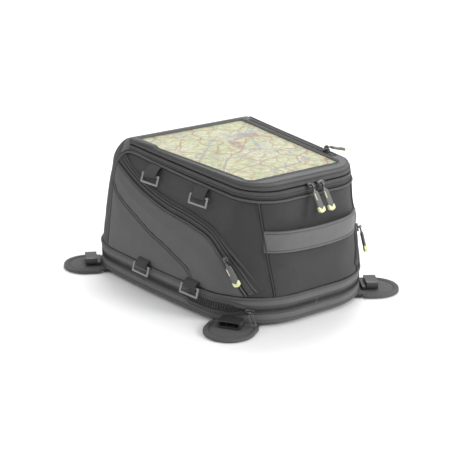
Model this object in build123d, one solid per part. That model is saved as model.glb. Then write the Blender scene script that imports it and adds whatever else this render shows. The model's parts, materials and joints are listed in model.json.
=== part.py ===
from build123d import *
import os
from math import cos, hypot, radians, sin

# A magnetic motorcycle tank bag. Millimetres, +Z up, +Y towards the front of the motorcycle, -Y towards the
# rider, +X to the rider's right. The origin is on the underside, at the middle of the base's length.

os.makedirs("parts", exist_ok=True)

# ---- Driving dimensions ----
HALF_LENGTH = 190.0            # base, from the origin to each end
BASE_HALF_WIDTH = (115.0, 142.0)   # at the rider's end, at the front
BASE_CORNERS = (95.0, 80.0)        # plan radii at the rider's end, at the front
BASE_BULGE = 9.0               # how far each long side bows out
BAG_RISE = 40.0                # height at which the walls start, above the zipped base

WAIST = (172.0, 92.0, 127.0, -176.0, 156.0, 57.0, 45.0, 3.0)   # z, half widths, ends, corner radii, bulge
LID_EDGE = (187.0, 91.0, 117.0, -172.0, 153.0, 48.0, 40.0, 2.0)
LID_TOP = (208.0, 88.0, 109.0, -154.0, 148.0, 24.0, 28.0, 1.0)

REAR_TOP_Z = 195.5             # lid top surface above y = REAR_TOP_Y
REAR_TOP_Y = -160.0
CREST_Y = 98.0                 # highest line across the lid, just in front of the map
CREST_Z = 202.5
TOP_LINE = ((REAR_TOP_Y, REAR_TOP_Z), (CREST_Y, CREST_Z))
SHOULDER = ((128.0, 196.5), (150.0, 181.0))   # the front falls away from the crest through these

WALL = 6.0                     # padded wall
LID_SKIN = 5.0
PARTING = ((-176.0, 184.0), (104.0, 196.5))   # the main zip's plane, from the rider's end to the hinge
HINGE_Y = PARTING[1][0]
PIPING_LINE = ((-176.0, 170.5), (100.0, 187.5))   # the piping below the main zip
PIPING = (2.2, 2.2)            # half height, and how far it stands out
MAIN_TAPE = (1.5, 1.0, 5.5)    # how far the lower and upper tapes stand out, and their width
GAP = 0.3                      # half the clearance at each zip, and the least between moving parts
PANEL = 2.0                    # pocket panel, proud of the wall
FRONT_EDGE_Y = 117.0           # front edge of the side panels

PAD_H = 5.0                    # grip pad
PAD_INSET = 25.0               # from the base's edge
BOARD_H = 3.0                  # base panel
BOARD_INSET = 1.5
ZIP_Z = 24.0                   # base zip
ZIP_HALF = 4.0                 # half a base zip's height
BAND = 4.0                     # wall of the zipped base band
BASE_TAPE = 1.0                # how far the base zip's tapes stand out
SEAM_H = 1.8                   # half the bottom piping's height
FLOOR_H = 5.0

# Middle line of each pocket's zip in side view, from the front top corner down to the base at the rider's end
POCKET_LINE = ((112.0, 168.0), (60.0, 144.0), (0.0, 127.5), (-60.0, 119.0), (-105.0, 107.0),
               (-140.0, 77.0), (-162.0, 43.5))
POCKET_LOW = BAG_RISE + 2.0    # where the pockets end
POCKET_ZIP = (1.4, 0.0, 6.0)   # how far it stands out, and its two edges' offsets from the line
POCKET_FLAP = (2.4, 6.5, 16.0)
PANEL_EDGE = -0.5

FLAP_R = 34.5
FLAP_REACH = 24.0              # from the base's edge to the middle of the flap's round end
FLAP_H = 6.0
FLAP_ANGLES = (33.0, 28.0)     # from the X axis, at the rider's end and at the front
FLAP_CUFF = 3.0                # bare tongue between the hinge and the pad
FLAP_EDGE = 1.2                # chamfer round the pad's top
TONGUE = (24.0, 1.6)           # length under the base, thickness
TONGUE_BACK = 1.0              # the tongue stops this far behind the hinge
MAGNET = (20.0, 3.0, 27.0)     # radius, thickness, middle from the base's edge
HINGE_OUT = 2.0                # flap hinge, from the base's edge
HINGE_Z = 4.0

BUCKLE_BACK = 3.2              # from the base's edge to the buckle's bar
BUCKLE_LENGTH = 23.0
BUCKLE_WIDTH = 34.0
BUCKLE_LOW = FLAP_H + 0.5
BUCKLE_H = 11.5
BUCKLE_WALL = 2.0
BUCKLE_CORNER = 2.5
BUCKLE_STEP = 6.0              # the thin bar end behind the housing
BUCKLE_BAR_H = 5.0
BUCKLE_SLOT = (4.5, 26.0)      # the webbing's slot behind the bar
BUCKLE_WINDOW = 6.5            # height of the window in each side
BUCKLE_PIVOT = (1.8, 2.0)      # the tilt axis from the bar's back and underside

RING = (37.0, 15.0, 1.75)      # outer width, outer height, rod radius
RING_Y = ((27.0, 21.0), (-75.5, -85.0))   # front pair and rear pair: upper, lower
RING_OUT = 6.8                 # rod centre from the wall
RING_TILT = 18.0               # how far a hanging ring stands off the wall, degrees
RING_DROP = 13.5               # upper rings, below the top piping
LOOP = (22.0, 0.4, 1.2)        # webbing loop: width, clearance on the rod, thickness
LOOP_TAIL = 2.6                # the upper loops' ends, below the piping's middle
LOOP_ROOT = 6.0                # height of the upper loops' lower ply at the wall
RING_RISE = 2.0                # lower rings' rods, above the walls' foot

SLIDER = (12.0, 8.0, 3.2)      # length along the zip, width, thickness
SLIDER_LIFT = 1.2              # slider off the tape
BAIL_H = 3.2                   # bail rod above the slider
BAIL_R = 0.85
BAIL_FOOT = (1.6, 2.4)         # its feet, along the rod and across it
BAIL_Z = SLIDER_LIFT + SLIDER[2] + BAIL_H
EYE = (2.4, 1.3, 4.0)          # pull's eye: outer radius, bore radius, width
GRIP = (30.0, 9.0, 4.0)        # pull's grip: length, width, thickness
NECK = (9.0, 4.0, 2.0)         # pull's neck: length, width, thickness
WIRE = (6.0, 16.0, 1.6, 1.8)   # wire pull: width, length, rod width, thickness

MAIN_X = (-4.0, 13.0)
MAIN_LIFT = 1.5                # sliders stand on the tape, this far off the wall
MAIN_PULL_TILT = 35.0          # the pulls stand off the wall by this angle
POCKET_SPOT = (-138.0, 90.0)   # the pocket slider in side view
POCKET_RUN = (-0.56, -0.83)    # the zip's direction there, down towards the rider
POCKET_PROBE = 12.0            # the zip's run is measured over this length
POCKET_LIFT = 2.6
MAP_SPOT_Y = -103.0
MAP_ZIP = ((85.0, -122.0), (100.5, 90.0))   # middle line of the map pocket's zip, (x, y)
MAP_TAPE = (2.2, 0.8)          # half width, height
MAP_PULL_TILT = 15.0
BASE_SLIDER_ANGLE = 43.5       # round the rear left corner, from -X
BASE_LIFT = 1.4
BASE_PULL_LEAN = 38.0          # out from the wall, degrees
BASE_PULL_SWING = 22.0         # to the right as it hangs, degrees

# Left edge, right edge, y and corner radius of the window: rear, front. It lies off to the left.
WINDOW = ((-81.0, 72.0, -150.0, 12.0), (-103.5, 88.5, 98.0, 5.0))
MAP_REAR_Y = -141.0            # the map stops short of the window's rear edge
MAP_INSET = 0.6
MAP_H = 1.4
FILM_H = 0.8
BINDING = (4.0, 1.0, 1.3)      # outwards from the window's edge, inwards, height

HANDLE = (30.0, 3.5, 118.0)    # height, thickness, mid height above the floor
HANDLE_ENDS = (80.0, -164.0)    # where it enters the corner seams, (x, y)
HANDLE_BOW_Y = -198.0             # the grip's furthest point from the bag

SIDES = (("left", -1), ("right", 1))
ENDS = (("rear", -1), ("front", 1))


# ---- Shared shapes ----
def section(z, near, far, y0, y1, r0, r1, bulge, grow=0.0):
    """A level outline of the bag: straight ends, bowed sides and round corners, grown outwards by grow."""
    near, far = near + grow, far + grow
    y0, y1 = y0 - grow, y1 + grow
    middle = (near + far) / 2 + bulge
    corners = [(-near, y0), (near, y0), (far, y1), (-far, y1)]
    with BuildSketch(Plane.XY.offset(z)) as sketch:
        with BuildLine():
            Line(corners[0], corners[1])
            ThreePointArc(corners[1], (middle, (y0 + y1) / 2), corners[2])
            Line(corners[2], corners[3])
            ThreePointArc(corners[3], (-middle, (y0 + y1) / 2), corners[0])
        make_face()
        fillet(sketch.vertices().sort_by(Axis.Y)[:2], r0 + grow)
        fillet(sketch.vertices().sort_by(Axis.Y)[-2:], r1 + grow)
    return sketch.sketch


def base_face(z, grow=0.0):
    return section(z, *BASE_HALF_WIDTH, -HALF_LENGTH, HALF_LENGTH, *BASE_CORNERS, BASE_BULGE, grow)


def ring_wall(z0, z1, thickness, grow=0.0):
    """A band round the base's outline, from z0 to z1."""
    outer = extrude(base_face(z0, grow), z1 - z0)
    inner = extrude(base_face(z0 - 1, grow - thickness), z1 - z0 + 2)
    return outer - inner


def side_prism(points, x0=-260.0, x1=260.0):
    """A prism along X from a closed side view given as (y, z) points."""
    face = make_face(Polyline(*[(0, y, z) for y, z in points], close=True))
    return extrude(Pos(x0, 0, 0) * face, x1 - x0, dir=(1, 0, 0))


def slope_z(line, y, lift=0.0):
    (ya, za), (yb, zb) = line
    return za + (zb - za) * (y - ya) / (yb - ya) + lift


def below_top(lift=0.0):
    """Everything under the bag's top line: a gentle rise to the crest, then the rounded front shoulder."""
    (ya, za), (yb, zb) = SHOULDER
    with BuildLine() as side:
        Polyline((-260, -10), (-260, slope_z(TOP_LINE, -260, lift)), (CREST_Y, CREST_Z + lift))
        ThreePointArc((CREST_Y, CREST_Z + lift), (ya, za + lift), (yb, zb + lift))
        Polyline((yb, zb + lift), (260, zb + lift - 60), (260, -10), (-260, -10))
    face = make_face(side.line.edges())
    return extrude(Plane.YZ.offset(-260) * face, 520)


def bag_form(grow=0.0, lift=0.0, bottom=BAG_RISE):
    """The bag above its base as one closed form, grown outwards by grow and raised by lift."""
    levels = [base_face(bottom, grow)]
    levels += [section(*level, grow) for level in (WAIST, LID_EDGE, LID_TOP)]
    return loft(levels, ruled=True) & below_top(lift)


def slab(line, low, high, y0=-260.0, y1=260.0):
    """The layer between two planes parallel to a side-view line."""
    ends = [(y0, low), (y1, low), (y1, high), (y0, high)]
    return side_prism([(y, slope_z(line, y, lift)) for y, lift in ends])


OUTER = bag_form()
BASE_SOLID = extrude(base_face(0), 60)
saved = {}


def save(name, shape):
    """Keeps a node's solids under its name."""
    solids = shape if isinstance(shape, list) else [shape]
    flat = [solid for item in solids for solid in item.solids()]
    saved[name] = flat


def skin(thickness):
    """A layer of the given thickness on the outside of the walls."""
    return bag_form(thickness) - OUTER


def wall_spot(y, z, side):
    """The point on the outer wall at y, z on one side, and the wall's outward normal there."""
    hits = OUTER.find_intersection_points(Axis((0, y, z), (side, 0, 0)))
    point, normal = max(hits, key=lambda hit: hit[0].X * side)
    if normal.X * side < 0:
        normal = -normal
    return point, normal


# ---- Base ----
def make_base():
    save("grip_pad", extrude(base_face(0, -PAD_INSET), PAD_H))
    save("base_panel", extrude(base_face(PAD_H, -BOARD_INSET), BOARD_H))
    floor = PAD_H + BOARD_H
    save("base_band_lower", ring_wall(floor, ZIP_Z - ZIP_HALF, BAND))
    save("base_zip_lower", ring_wall(ZIP_Z - ZIP_HALF, ZIP_Z - GAP, BAND, BASE_TAPE))
    save("base_zip_upper", ring_wall(ZIP_Z + GAP, ZIP_Z + ZIP_HALF, BAND, BASE_TAPE))
    save("base_band_upper", ring_wall(ZIP_Z + ZIP_HALF, BAG_RISE, BAND))
    save("floor_board", extrude(base_face(BAG_RISE - FLOOR_H, -BAND), FLOOR_H))


def corner_plane(side, end):
    """A plane at a base corner: origin on the base's edge, x outwards along the flap, z up."""
    radius = BASE_CORNERS[0 if end < 0 else 1]
    half = BASE_HALF_WIDTH[0 if end < 0 else 1]
    angle = radians(FLAP_ANGLES[0 if end < 0 else 1])
    out = Vector(side * cos(angle), end * sin(angle), 0)
    centre = Vector(side * (half - radius), end * (HALF_LENGTH - radius), 20)
    hits = BASE_SOLID.find_intersection_points(Axis(centre, out))
    point = max(hits, key=lambda hit: (hit[0] - centre).dot(out))[0]
    return Plane(origin=(point.X, point.Y, 0), x_dir=out, z_dir=(0, 0, 1))


def flap_outline():
    """A flap's plan in its corner plane: parallel sides and a round end."""
    start = HINGE_OUT + FLAP_CUFF
    body = Rectangle(FLAP_REACH - start, 2 * FLAP_R, align=(Align.MIN, Align.CENTER))
    rest = Rectangle(200, 200, align=(Align.MIN, Align.CENTER))
    return Pos(start, 0) * body + (Pos(FLAP_REACH, 0) * Circle(FLAP_R) & Pos(start, 0) * rest)


def make_flap(side_name, side, end_name, end):
    plane = corner_plane(side, end)
    where = f"{end_name}_{side_name}"
    reach_in, thickness = TONGUE
    hinge_width = 2 * (FLAP_R - BUCKLE_WALL)
    pad = extrude(flap_outline(), FLAP_H)
    pad = chamfer(pad.edges().group_by(Axis.Z)[-1], FLAP_EDGE)
    cuff = Box(FLAP_CUFF + 1, hinge_width, thickness, align=(Align.MIN, Align.CENTER, Align.CENTER))
    cuff = Pos(HINGE_OUT + TONGUE_BACK, 0, HINGE_Z) * cuff
    radius, magnet_h, reach = MAGNET
    magnet = Pos(reach, 0, FLAP_H / 2) * Cylinder(radius, magnet_h)
    cover = pad + cuff - magnet
    split = Pos(0, 0, FLAP_H / 2) * Box(300, 300, 50, align=(Align.CENTER, Align.CENTER, Align.MIN))
    save(f"flap_{where}", [plane * (cover & split), plane * (cover - split)])
    save(f"magnet_{where}", plane * magnet)
    tongue = Box(reach_in, hinge_width, thickness, align=(Align.MAX, Align.CENTER, Align.CENTER))
    tongue = Pos(HINGE_OUT - TONGUE_BACK, 0, HINGE_Z) * tongue
    save(f"buckle_{where}", plane * buckle())
    fold = (f"flap_{where}", (plane * Pos(HINGE_OUT, 0, HINGE_Z)).position, plane.y_dir)
    back, low = BUCKLE_PIVOT
    tilt = (f"buckle_{where}", (plane * Pos(BUCKLE_BACK + back, 0, BUCKLE_LOW + low)).position, plane.y_dir)
    return plane * tongue, [fold, tilt]


def buckle():
    """A side-release buckle housing lying on the flap, mouth outwards, with a bar for webbing behind."""
    back = Box(BUCKLE_STEP, BUCKLE_WIDTH, BUCKLE_BAR_H, align=(Align.MIN, Align.CENTER, Align.MIN))
    slot = Box(*BUCKLE_SLOT, 3 * BUCKLE_BAR_H, align=(Align.MIN, Align.CENTER, Align.CENTER))
    slot = Pos(BUCKLE_WALL, 0, 0) * slot
    depth = BUCKLE_LENGTH - BUCKLE_STEP
    house = Box(depth, BUCKLE_WIDTH, BUCKLE_H, align=(Align.MIN, Align.CENTER, Align.MIN))
    house = fillet(house.edges().filter_by(Axis.X), BUCKLE_CORNER)
    mouth = Box(depth, BUCKLE_WIDTH - 2 * BUCKLE_CORNER, BUCKLE_H - 2 * BUCKLE_WALL,
                align=(Align.MIN, Align.CENTER, Align.CENTER))
    mouth = Pos(BUCKLE_WALL, 0, BUCKLE_H / 2) * mouth
    window = Pos(depth / 2, 0, BUCKLE_H / 2) * Box(depth / 2, 2 * BUCKLE_WIDTH, BUCKLE_WINDOW)
    housing = Pos(BUCKLE_STEP, 0, 0) * (house - mouth - window)
    return Pos(BUCKLE_BACK, 0, BUCKLE_LOW) * ((back - slot) + housing)


def make_flaps():
    tongues = []
    hooks = []
    for side_name, side in SIDES:
        for end_name, end in ENDS:
            tongue, pivots = make_flap(side_name, side, end_name, end)
            tongues.append(tongue)
            hooks += pivots
    save("flap_tongues", tongues)
    return hooks


# ---- Bag ----
def above_parting(lift):
    """The space over the main zip's plane and behind the hinge line."""
    back = HINGE_Y - lift
    return side_prism([(-260, slope_z(PARTING, -260, lift)), (back, slope_z(PARTING, back, lift)),
                       (back, 300), (-260, 300)])


def make_bag():
    inner = bag_form(-WALL, -WALL, BAG_RISE - 1)
    save("body_shell", OUTER - inner - above_parting(-GAP))
    half, out = PIPING
    seam = ring_wall(BAG_RISE - SEAM_H, BAG_RISE + SEAM_H, out, out)
    save("piping_bottom", seam - OUTER - BASE_SOLID)
    save("piping_top", skin(out) & slab(PIPING_LINE, -half, half, y1=FRONT_EDGE_Y))
    lower, _, width = MAIN_TAPE
    save("main_zip_lower", skin(lower) & slab(PARTING, -width, -GAP, y1=HINGE_Y - 2))



def pocket_edge(offset):
    """The pocket zip's line moved up and forward by offset, as (y, z) points."""
    count = len(POCKET_LINE)
    moved = []
    for index, (y, z) in enumerate(POCKET_LINE):
        before = POCKET_LINE[max(index - 1, 0)]
        after = POCKET_LINE[min(index + 1, count - 1)]
        run = hypot(after[0] - before[0], after[1] - before[1])
        step = ((before[1] - after[1]) / -run, (before[0] - after[0]) / run)
        moved.append((y + offset * step[0], z + offset * step[1]))
    return moved


def pocket_strip(thickness, low, high, side):
    """The part of a wall skin between two offsets of the pocket line, on one side."""
    lower = pocket_edge(low)
    upper = pocket_edge(high)
    with BuildLine() as outline:
        Spline(*lower)
        Line(lower[-1], upper[-1])
        Spline(*reversed(upper))
        Line(upper[0], lower[0])
    face = make_face(outline.line.edges())
    prism = extrude(Plane.YZ * face, 220 * side)
    above_floor = Pos(0, 0, POCKET_LOW) * Box(600, 600, 300, align=(Align.CENTER, Align.CENTER, Align.MIN))
    return skin(thickness) & prism & above_floor


def pocket_panel(side):
    """The soft-touch panel below the pocket zip."""
    line = pocket_edge(PANEL_EDGE)
    with BuildLine() as outline:
        Spline(*line)
        Polyline(line[-1], (line[-1][0], POCKET_LOW), (FRONT_EDGE_Y, POCKET_LOW), line[0])
    face = make_face(outline.line.edges())
    return skin(PANEL) & extrude(Plane.YZ * face, 220 * side)


def make_pockets():
    for side_name, side in SIDES:
        save(f"pocket_panel_{side_name}", pocket_panel(side))
        save(f"pocket_zip_{side_name}", pocket_strip(*POCKET_ZIP, side))
        save(f"pocket_flap_{side_name}", pocket_strip(*POCKET_FLAP, side))


def make_handle():
    height, thickness, middle = HANDLE
    end_x, end_y = HANDLE_ENDS
    path = ThreePointArc((-end_x, end_y), (0, HANDLE_BOW_Y), (end_x, end_y))
    centre = path.arc_center
    bend = path.radius
    disc = Cylinder(bend + thickness / 2, height) - Cylinder(bend - thickness / 2, height + 2)
    keep = Pos(0, end_y - 100, 0) * Box(2 * end_x, 200, height)
    strap = (Pos(centre.X, centre.Y, 0) * disc) & keep
    save("carry_handle", Pos(0, 0, middle) * strap - OUTER)


# ---- Rings ----
def ring():
    """A rectangular ring of round rod, hanging down from the middle of its top rod."""
    width, height, rod = RING
    across = width - 2 * rod
    down = height - 2 * rod
    body = Rot(0, 90, 0) * Cylinder(rod, across) + Pos(0, 0, -down) * (Rot(0, 90, 0) * Cylinder(rod, across))
    for x in (-across / 2, across / 2):
        body += Pos(x, 0, -down / 2) * Cylinder(rod, down)
        body += Pos(x, 0, 0) * Sphere(rod)
        body += Pos(x, 0, -down) * Sphere(rod)
    return body


def webbing_loop(tail):
    """A loop round a ring's top rod in a plane where x is outwards and y is up, and its tail to the seam."""
    width, clearance, thickness = LOOP
    bore = RING[2] + clearance
    outer = bore + thickness
    profile = Circle(outer)
    if tail > 0:
        wall = -RING_OUT
        profile += make_face(Polyline((wall, tail), (wall + thickness, tail), (thickness / 2, outer - clearance),
                                      (clearance - outer, 0), (wall, LOOP_ROOT), close=True))
    else:
        profile += Pos(-outer, 0) * Rectangle(2 * thickness, 2 * thickness)
    return extrude(profile - Circle(bore), width / 2, both=True)


def make_rings():
    hooks = []
    for side_name, side in SIDES:
        loops = []
        for end_name, end in ENDS:
            for level in ("upper", "lower"):
                y = RING_Y[0 if end > 0 else 1][0 if level == "upper" else 1]
                if level == "upper":
                    z = slope_z(PIPING_LINE, y) - RING_DROP
                    point, normal = wall_spot(y, z, side)
                    tail = RING_DROP - LOOP_TAIL
                else:
                    z = BAG_RISE + RING_RISE
                    point, normal = wall_spot(y, z, side)
                    tail = 0
                out = Vector(normal.X, normal.Y, 0).normalized()
                along = Vector(0, 0, 1).cross(out)
                rod = Vector(point.X, point.Y, z) + out * RING_OUT
                frame = Plane(origin=rod, x_dir=along, z_dir=(0, 0, 1))
                save(f"ring_{level}_{end_name}_{side_name}", frame * (Rot(-RING_TILT, 0, 0) * ring()))
                loop = Plane(origin=rod, x_dir=out, z_dir=out.cross(Vector(0, 0, 1))) * webbing_loop(tail)
                loops.append(loop - OUTER)
                hooks.append((f"ring_{level}_{end_name}_{side_name}", rod, along))
        beside = saved["piping_bottom"] + saved["piping_top"] + saved[f"pocket_panel_{side_name}"]
        for piece in beside:
            loops = [loop - piece for loop in loops]
        save(f"ring_loops_{side_name}", loops)
    return hooks


# ---- Sliders and pulls ----
def slider(rod_along_zip=True):
    """A zip slider, z out of the zip, its bail rod along x; the zip runs along x, or else along y."""
    length, width, thickness = SLIDER
    size_x, size_y = (length, width) if rod_along_zip else (width, length)
    body = Box(size_x, size_y, thickness, align=(Align.CENTER, Align.CENTER, Align.MIN))
    body = Pos(0, 0, SLIDER_LIFT) * fillet(body.edges().filter_by(Axis.Z), 2.0)
    foot = (size_x - BAIL_FOOT[0]) / 2
    post = Box(*BAIL_FOOT, BAIL_H + BAIL_R, align=(Align.CENTER, Align.CENTER, Align.MIN))
    for x in (-foot, foot):
        body += Pos(x, 0, SLIDER_LIFT + thickness) * post
    return body + Pos(0, 0, BAIL_Z) * (Rot(0, 90, 0) * Cylinder(BAIL_R, 2 * foot))


def pull():
    """A pull hanging along -y from an eye on the x axis."""
    outer, bore, width = EYE
    reach, neck_w, neck_h = NECK
    length, grip_w, grip_h = GRIP
    eye = Rot(0, 90, 0) * Cylinder(outer, width)
    neck = Pos(0, -reach / 2, 0) * Box(neck_w, reach, neck_h)
    grip = Pos(0, -reach - length / 2 + 1, 0) * Box(grip_w, length, grip_h)
    grip = fillet(grip.edges().filter_by(Axis.Z), 2.0)
    grip = chamfer(grip.edges().group_by(Axis.Z)[-1] + grip.edges().group_by(Axis.Z)[0], 0.8)
    return eye + neck + grip - Rot(0, 90, 0) * Cylinder(bore, width + 10)


def wire_pull():
    """A thin wire loop, for the base zip."""
    outer, bore, width = EYE
    eye = Rot(0, 90, 0) * Cylinder(outer, width)
    wide, long, rod, thick = WIRE
    wire = Box(wide, long, thick) - Box(wide - 2 * rod, long - 2 * rod, 2 * thick)
    wire = Pos(0, -outer - rod - long / 2, 0) * wire
    wire += Pos(0, -outer, 0) * Box(rod, 3 * rod, thick)
    wire = Rot(0, 0, BASE_PULL_SWING) * wire
    return eye + wire - Rot(0, 90, 0) * Cylinder(bore, width + 2)


def rear_wall_y(z):
    (z0, y0), (z1, y1) = (WAIST[0], WAIST[3]), (LID_EDGE[0], LID_EDGE[3])
    return y0 + (y1 - y0) * (z - z0) / (z1 - z0)


def make_main_sliders():
    z = slope_z(PARTING, PARTING[0][0])
    y = rear_wall_y(z) - MAIN_LIFT
    hooks = []
    for (side_name, _), x in zip(SIDES, MAIN_X):
        plane = Plane(origin=(x, y, z), x_dir=(1, 0, 0), z_dir=(0, -1, 0))
        save(f"main_slider_{side_name}", plane * slider())
        rod = plane * Pos(0, 0, BAIL_Z)
        save(f"main_pull_{side_name}", rod * (Rot(-MAIN_PULL_TILT, 0, 0) * pull()))
        hooks.append((f"main_pull_{side_name}", rod.position, Vector(1, 0, 0)))
    return hooks


def make_pocket_sliders():
    hooks = []
    y, z = POCKET_SPOT
    for side_name, side in SIDES:
        point, normal = wall_spot(y, z, side)
        probe, _ = wall_spot(y + POCKET_PROBE * POCKET_RUN[0], z + POCKET_PROBE * POCKET_RUN[1], side)
        run = (probe - point).normalized()
        across = normal.cross(run).normalized()
        out = run.cross(across)
        spot = point + out * POCKET_LIFT
        rod = spot + out * BAIL_Z
        frame = Plane(origin=spot, x_dir=across, z_dir=out)
        save(f"pocket_slider_{side_name}", frame * slider(rod_along_zip=False))
        save(f"pocket_pull_{side_name}", frame * (Pos(0, 0, BAIL_Z) * pull()))
        hooks.append((f"pocket_pull_{side_name}", rod, across))
        hooks.append((f"pocket_slider_{side_name}", spot, run))
    return hooks


def make_map_slider():
    (xa, ya), (xb, yb) = MAP_ZIP
    x = xa + (xb - xa) * (MAP_SPOT_Y - ya) / (yb - ya)
    z = slope_z(TOP_LINE, MAP_SPOT_Y) + MAP_TAPE[1]
    run = Vector(xb - xa, yb - ya, slope_z(TOP_LINE, yb) - slope_z(TOP_LINE, ya)).normalized()
    across = run.cross(Vector(0, 0, 1)).normalized()
    up = across.cross(run).normalized()
    plane = Plane(origin=(x, MAP_SPOT_Y, z), x_dir=run, z_dir=up)
    save("map_slider", plane * slider())
    rod = Vector(x, MAP_SPOT_Y, z) + up * BAIL_Z
    save("map_pull", Plane(origin=rod, x_dir=run, z_dir=up) * (Rot(MAP_PULL_TILT, 0, 0) * pull()))
    return [("map_pull", rod, run), ("map_slider", Vector(x, MAP_SPOT_Y, z), run)]


def make_base_slider():
    angle = radians(180 + BASE_SLIDER_ANGLE)
    out = Vector(cos(angle), sin(angle), 0)
    radius = BASE_CORNERS[0]
    centre = Vector(-(BASE_HALF_WIDTH[0] - radius), -(HALF_LENGTH - radius), ZIP_Z)
    hits = BASE_SOLID.find_intersection_points(Axis(centre, out))
    point, normal = max(hits, key=lambda hit: (hit[0] - centre).dot(out))
    if normal.dot(out) < 0:
        normal = -normal
    spot = point + normal * BASE_LIFT
    along = Vector(0, 0, 1).cross(normal).normalized()
    plane = Plane(origin=spot, x_dir=along, z_dir=normal)
    save("base_slider", plane * slider())
    rod = spot + normal * BAIL_Z
    frame = Plane(origin=rod, x_dir=along, z_dir=normal)
    save("base_pull", frame * (Rot(-BASE_PULL_LEAN, 0, 0) * wire_pull()))
    corner = BASE_SOLID.edges().filter_by(GeomType.CIRCLE).sort_by_distance(point)[0].arc_center
    return [("base_pull", rod, along), ("base_slider", Vector(corner.X, corner.Y, ZIP_Z), Vector(0, 0, 1))]


# ---- Lid ----
def window_prism(grow):
    """A prism through the window's outline grown outwards by grow."""
    (rear_left, rear_right, ya, ra), (front_left, front_right, yb, rb) = WINDOW
    points = [(rear_left - grow, ya - grow), (rear_right + grow, ya - grow),
              (front_right + grow, yb + grow), (front_left - grow, yb + grow)]
    with BuildSketch() as sketch:
        with BuildLine():
            Polyline(*points, close=True)
        make_face()
        fillet(sketch.vertices().sort_by(Axis.Y)[:2], ra + grow)
        fillet(sketch.vertices().sort_by(Axis.Y)[-2:], rb + grow)
    return extrude(sketch.sketch, 300)


def make_lid():
    inner = bag_form(-WALL, -LID_SKIN, BAG_RISE - 1)
    depth = MAP_H + FILM_H
    window = window_prism(0)
    recess = window & slab(TOP_LINE, -depth, LID_SKIN)
    save("lid_shell", (OUTER & above_parting(GAP)) - inner - recess)
    sheet = window_prism(-MAP_INSET) & slab(TOP_LINE, -depth, -FILM_H, y0=MAP_REAR_Y)
    save("map_sheet", sheet)
    save("map_window", window & slab(TOP_LINE, -FILM_H, 0))
    out, into, height = BINDING
    save("window_binding", (window_prism(out) - window_prism(-into)) & slab(TOP_LINE, 0, height))
    _, upper, width = MAIN_TAPE
    save("main_zip_upper", skin(upper) & slab(PARTING, GAP, width, y1=HINGE_Y - 2))
    (xa, ya), (xb, yb) = MAP_ZIP
    half, tape_h = MAP_TAPE
    strip = Polyline((xa - half, ya), (xa + half, ya), (xb + half, yb), (xb - half, yb), close=True)
    save("map_zip", extrude(make_face(strip), 300) & slab(TOP_LINE, 0, tape_h))


make_base()
joints = make_flaps()
make_bag()
make_pockets()
make_handle()
make_lid()
joints += make_rings() + make_main_sliders() + make_pocket_sliders() + make_map_slider() + make_base_slider()

for name, solids in saved.items():
    export_step(Compound(children=solids) if len(solids) > 1 else solids[0], f"parts/{name}.step")
print(len(saved), "nodes")
for name, place, axis in joints:
    print(name, [round(v, 2) for v in place], [round(v, 4) for v in axis])
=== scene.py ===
"""The looks of a magnetic motorcycle tank bag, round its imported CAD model. Metres, +Z up, +Y forwards."""

import json
from math import atan2, cos, hypot, pi, radians, sin, sqrt

import bmesh
import bpy
import numpy as np
from mathutils import Matrix, Vector, noise

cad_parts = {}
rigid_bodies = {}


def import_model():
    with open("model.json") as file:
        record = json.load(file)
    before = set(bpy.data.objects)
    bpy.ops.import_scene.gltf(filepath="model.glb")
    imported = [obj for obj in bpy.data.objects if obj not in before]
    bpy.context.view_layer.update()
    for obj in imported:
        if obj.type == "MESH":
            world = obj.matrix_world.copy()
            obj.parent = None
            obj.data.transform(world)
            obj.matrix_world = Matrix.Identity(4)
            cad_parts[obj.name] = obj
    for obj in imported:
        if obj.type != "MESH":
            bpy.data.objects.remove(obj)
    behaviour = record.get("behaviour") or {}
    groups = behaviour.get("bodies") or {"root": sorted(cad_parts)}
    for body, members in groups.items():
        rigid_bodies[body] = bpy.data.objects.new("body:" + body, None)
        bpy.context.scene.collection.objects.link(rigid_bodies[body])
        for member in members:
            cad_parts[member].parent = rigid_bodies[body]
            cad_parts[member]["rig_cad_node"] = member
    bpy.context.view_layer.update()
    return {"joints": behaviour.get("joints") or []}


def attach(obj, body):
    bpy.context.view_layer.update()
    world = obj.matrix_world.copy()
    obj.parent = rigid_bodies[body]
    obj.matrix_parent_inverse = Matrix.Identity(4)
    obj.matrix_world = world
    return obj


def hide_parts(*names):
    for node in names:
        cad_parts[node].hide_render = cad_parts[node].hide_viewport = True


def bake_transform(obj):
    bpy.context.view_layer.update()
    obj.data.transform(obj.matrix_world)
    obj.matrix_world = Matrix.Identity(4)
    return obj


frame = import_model()
JOINT_OF = {joint["child"]: joint for joint in frame["joints"]}
UP = Vector((0, 0, 1))

# ---- The bag's form: level sections, as the CAD has them ----
# height, half widths, ends, corner radii (each at the rider's end, then at the front), bulge of the sides
LEVELS = (
    (0.040, (0.115, 0.142), (-0.190, 0.190), (0.095, 0.080), 0.009),
    (0.172, (0.092, 0.127), (-0.176, 0.156), (0.057, 0.045), 0.003),
    (0.187, (0.091, 0.117), (-0.172, 0.153), (0.048, 0.040), 0.002),
    (0.208, (0.088, 0.109), (-0.154, 0.148), (0.024, 0.028), 0.001),
)
# outline points on half the rear, a corner, a side, a corner and half the front
STEPS = (10, 24, 84, 24, 14)
HALF = sum(STEPS)
COUNT = 2 * HALF
SOFTEN = (-0.006, -0.003, 0.0, 0.003, 0.006)   # heights averaged over, so that the walls have no creases

REAR_TOP = (-0.160, 0.1955)        # the lid's top line in side view, (y, z)
CREST = (0.098, 0.2025)
SHOULDER = ((0.128, 0.1965), (0.150, 0.181))
BAG_RISE = 0.040
PARTING = ((-0.176, 0.184), (0.104, 0.1965))        # the main zip
PIPING_LINE = ((-0.176, 0.1705), (0.090, 0.1869))  # the piping below it
FRONT_EDGE = 0.118                 # the side panels end here
GAP = 0.0003
MM = 0.001


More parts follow.
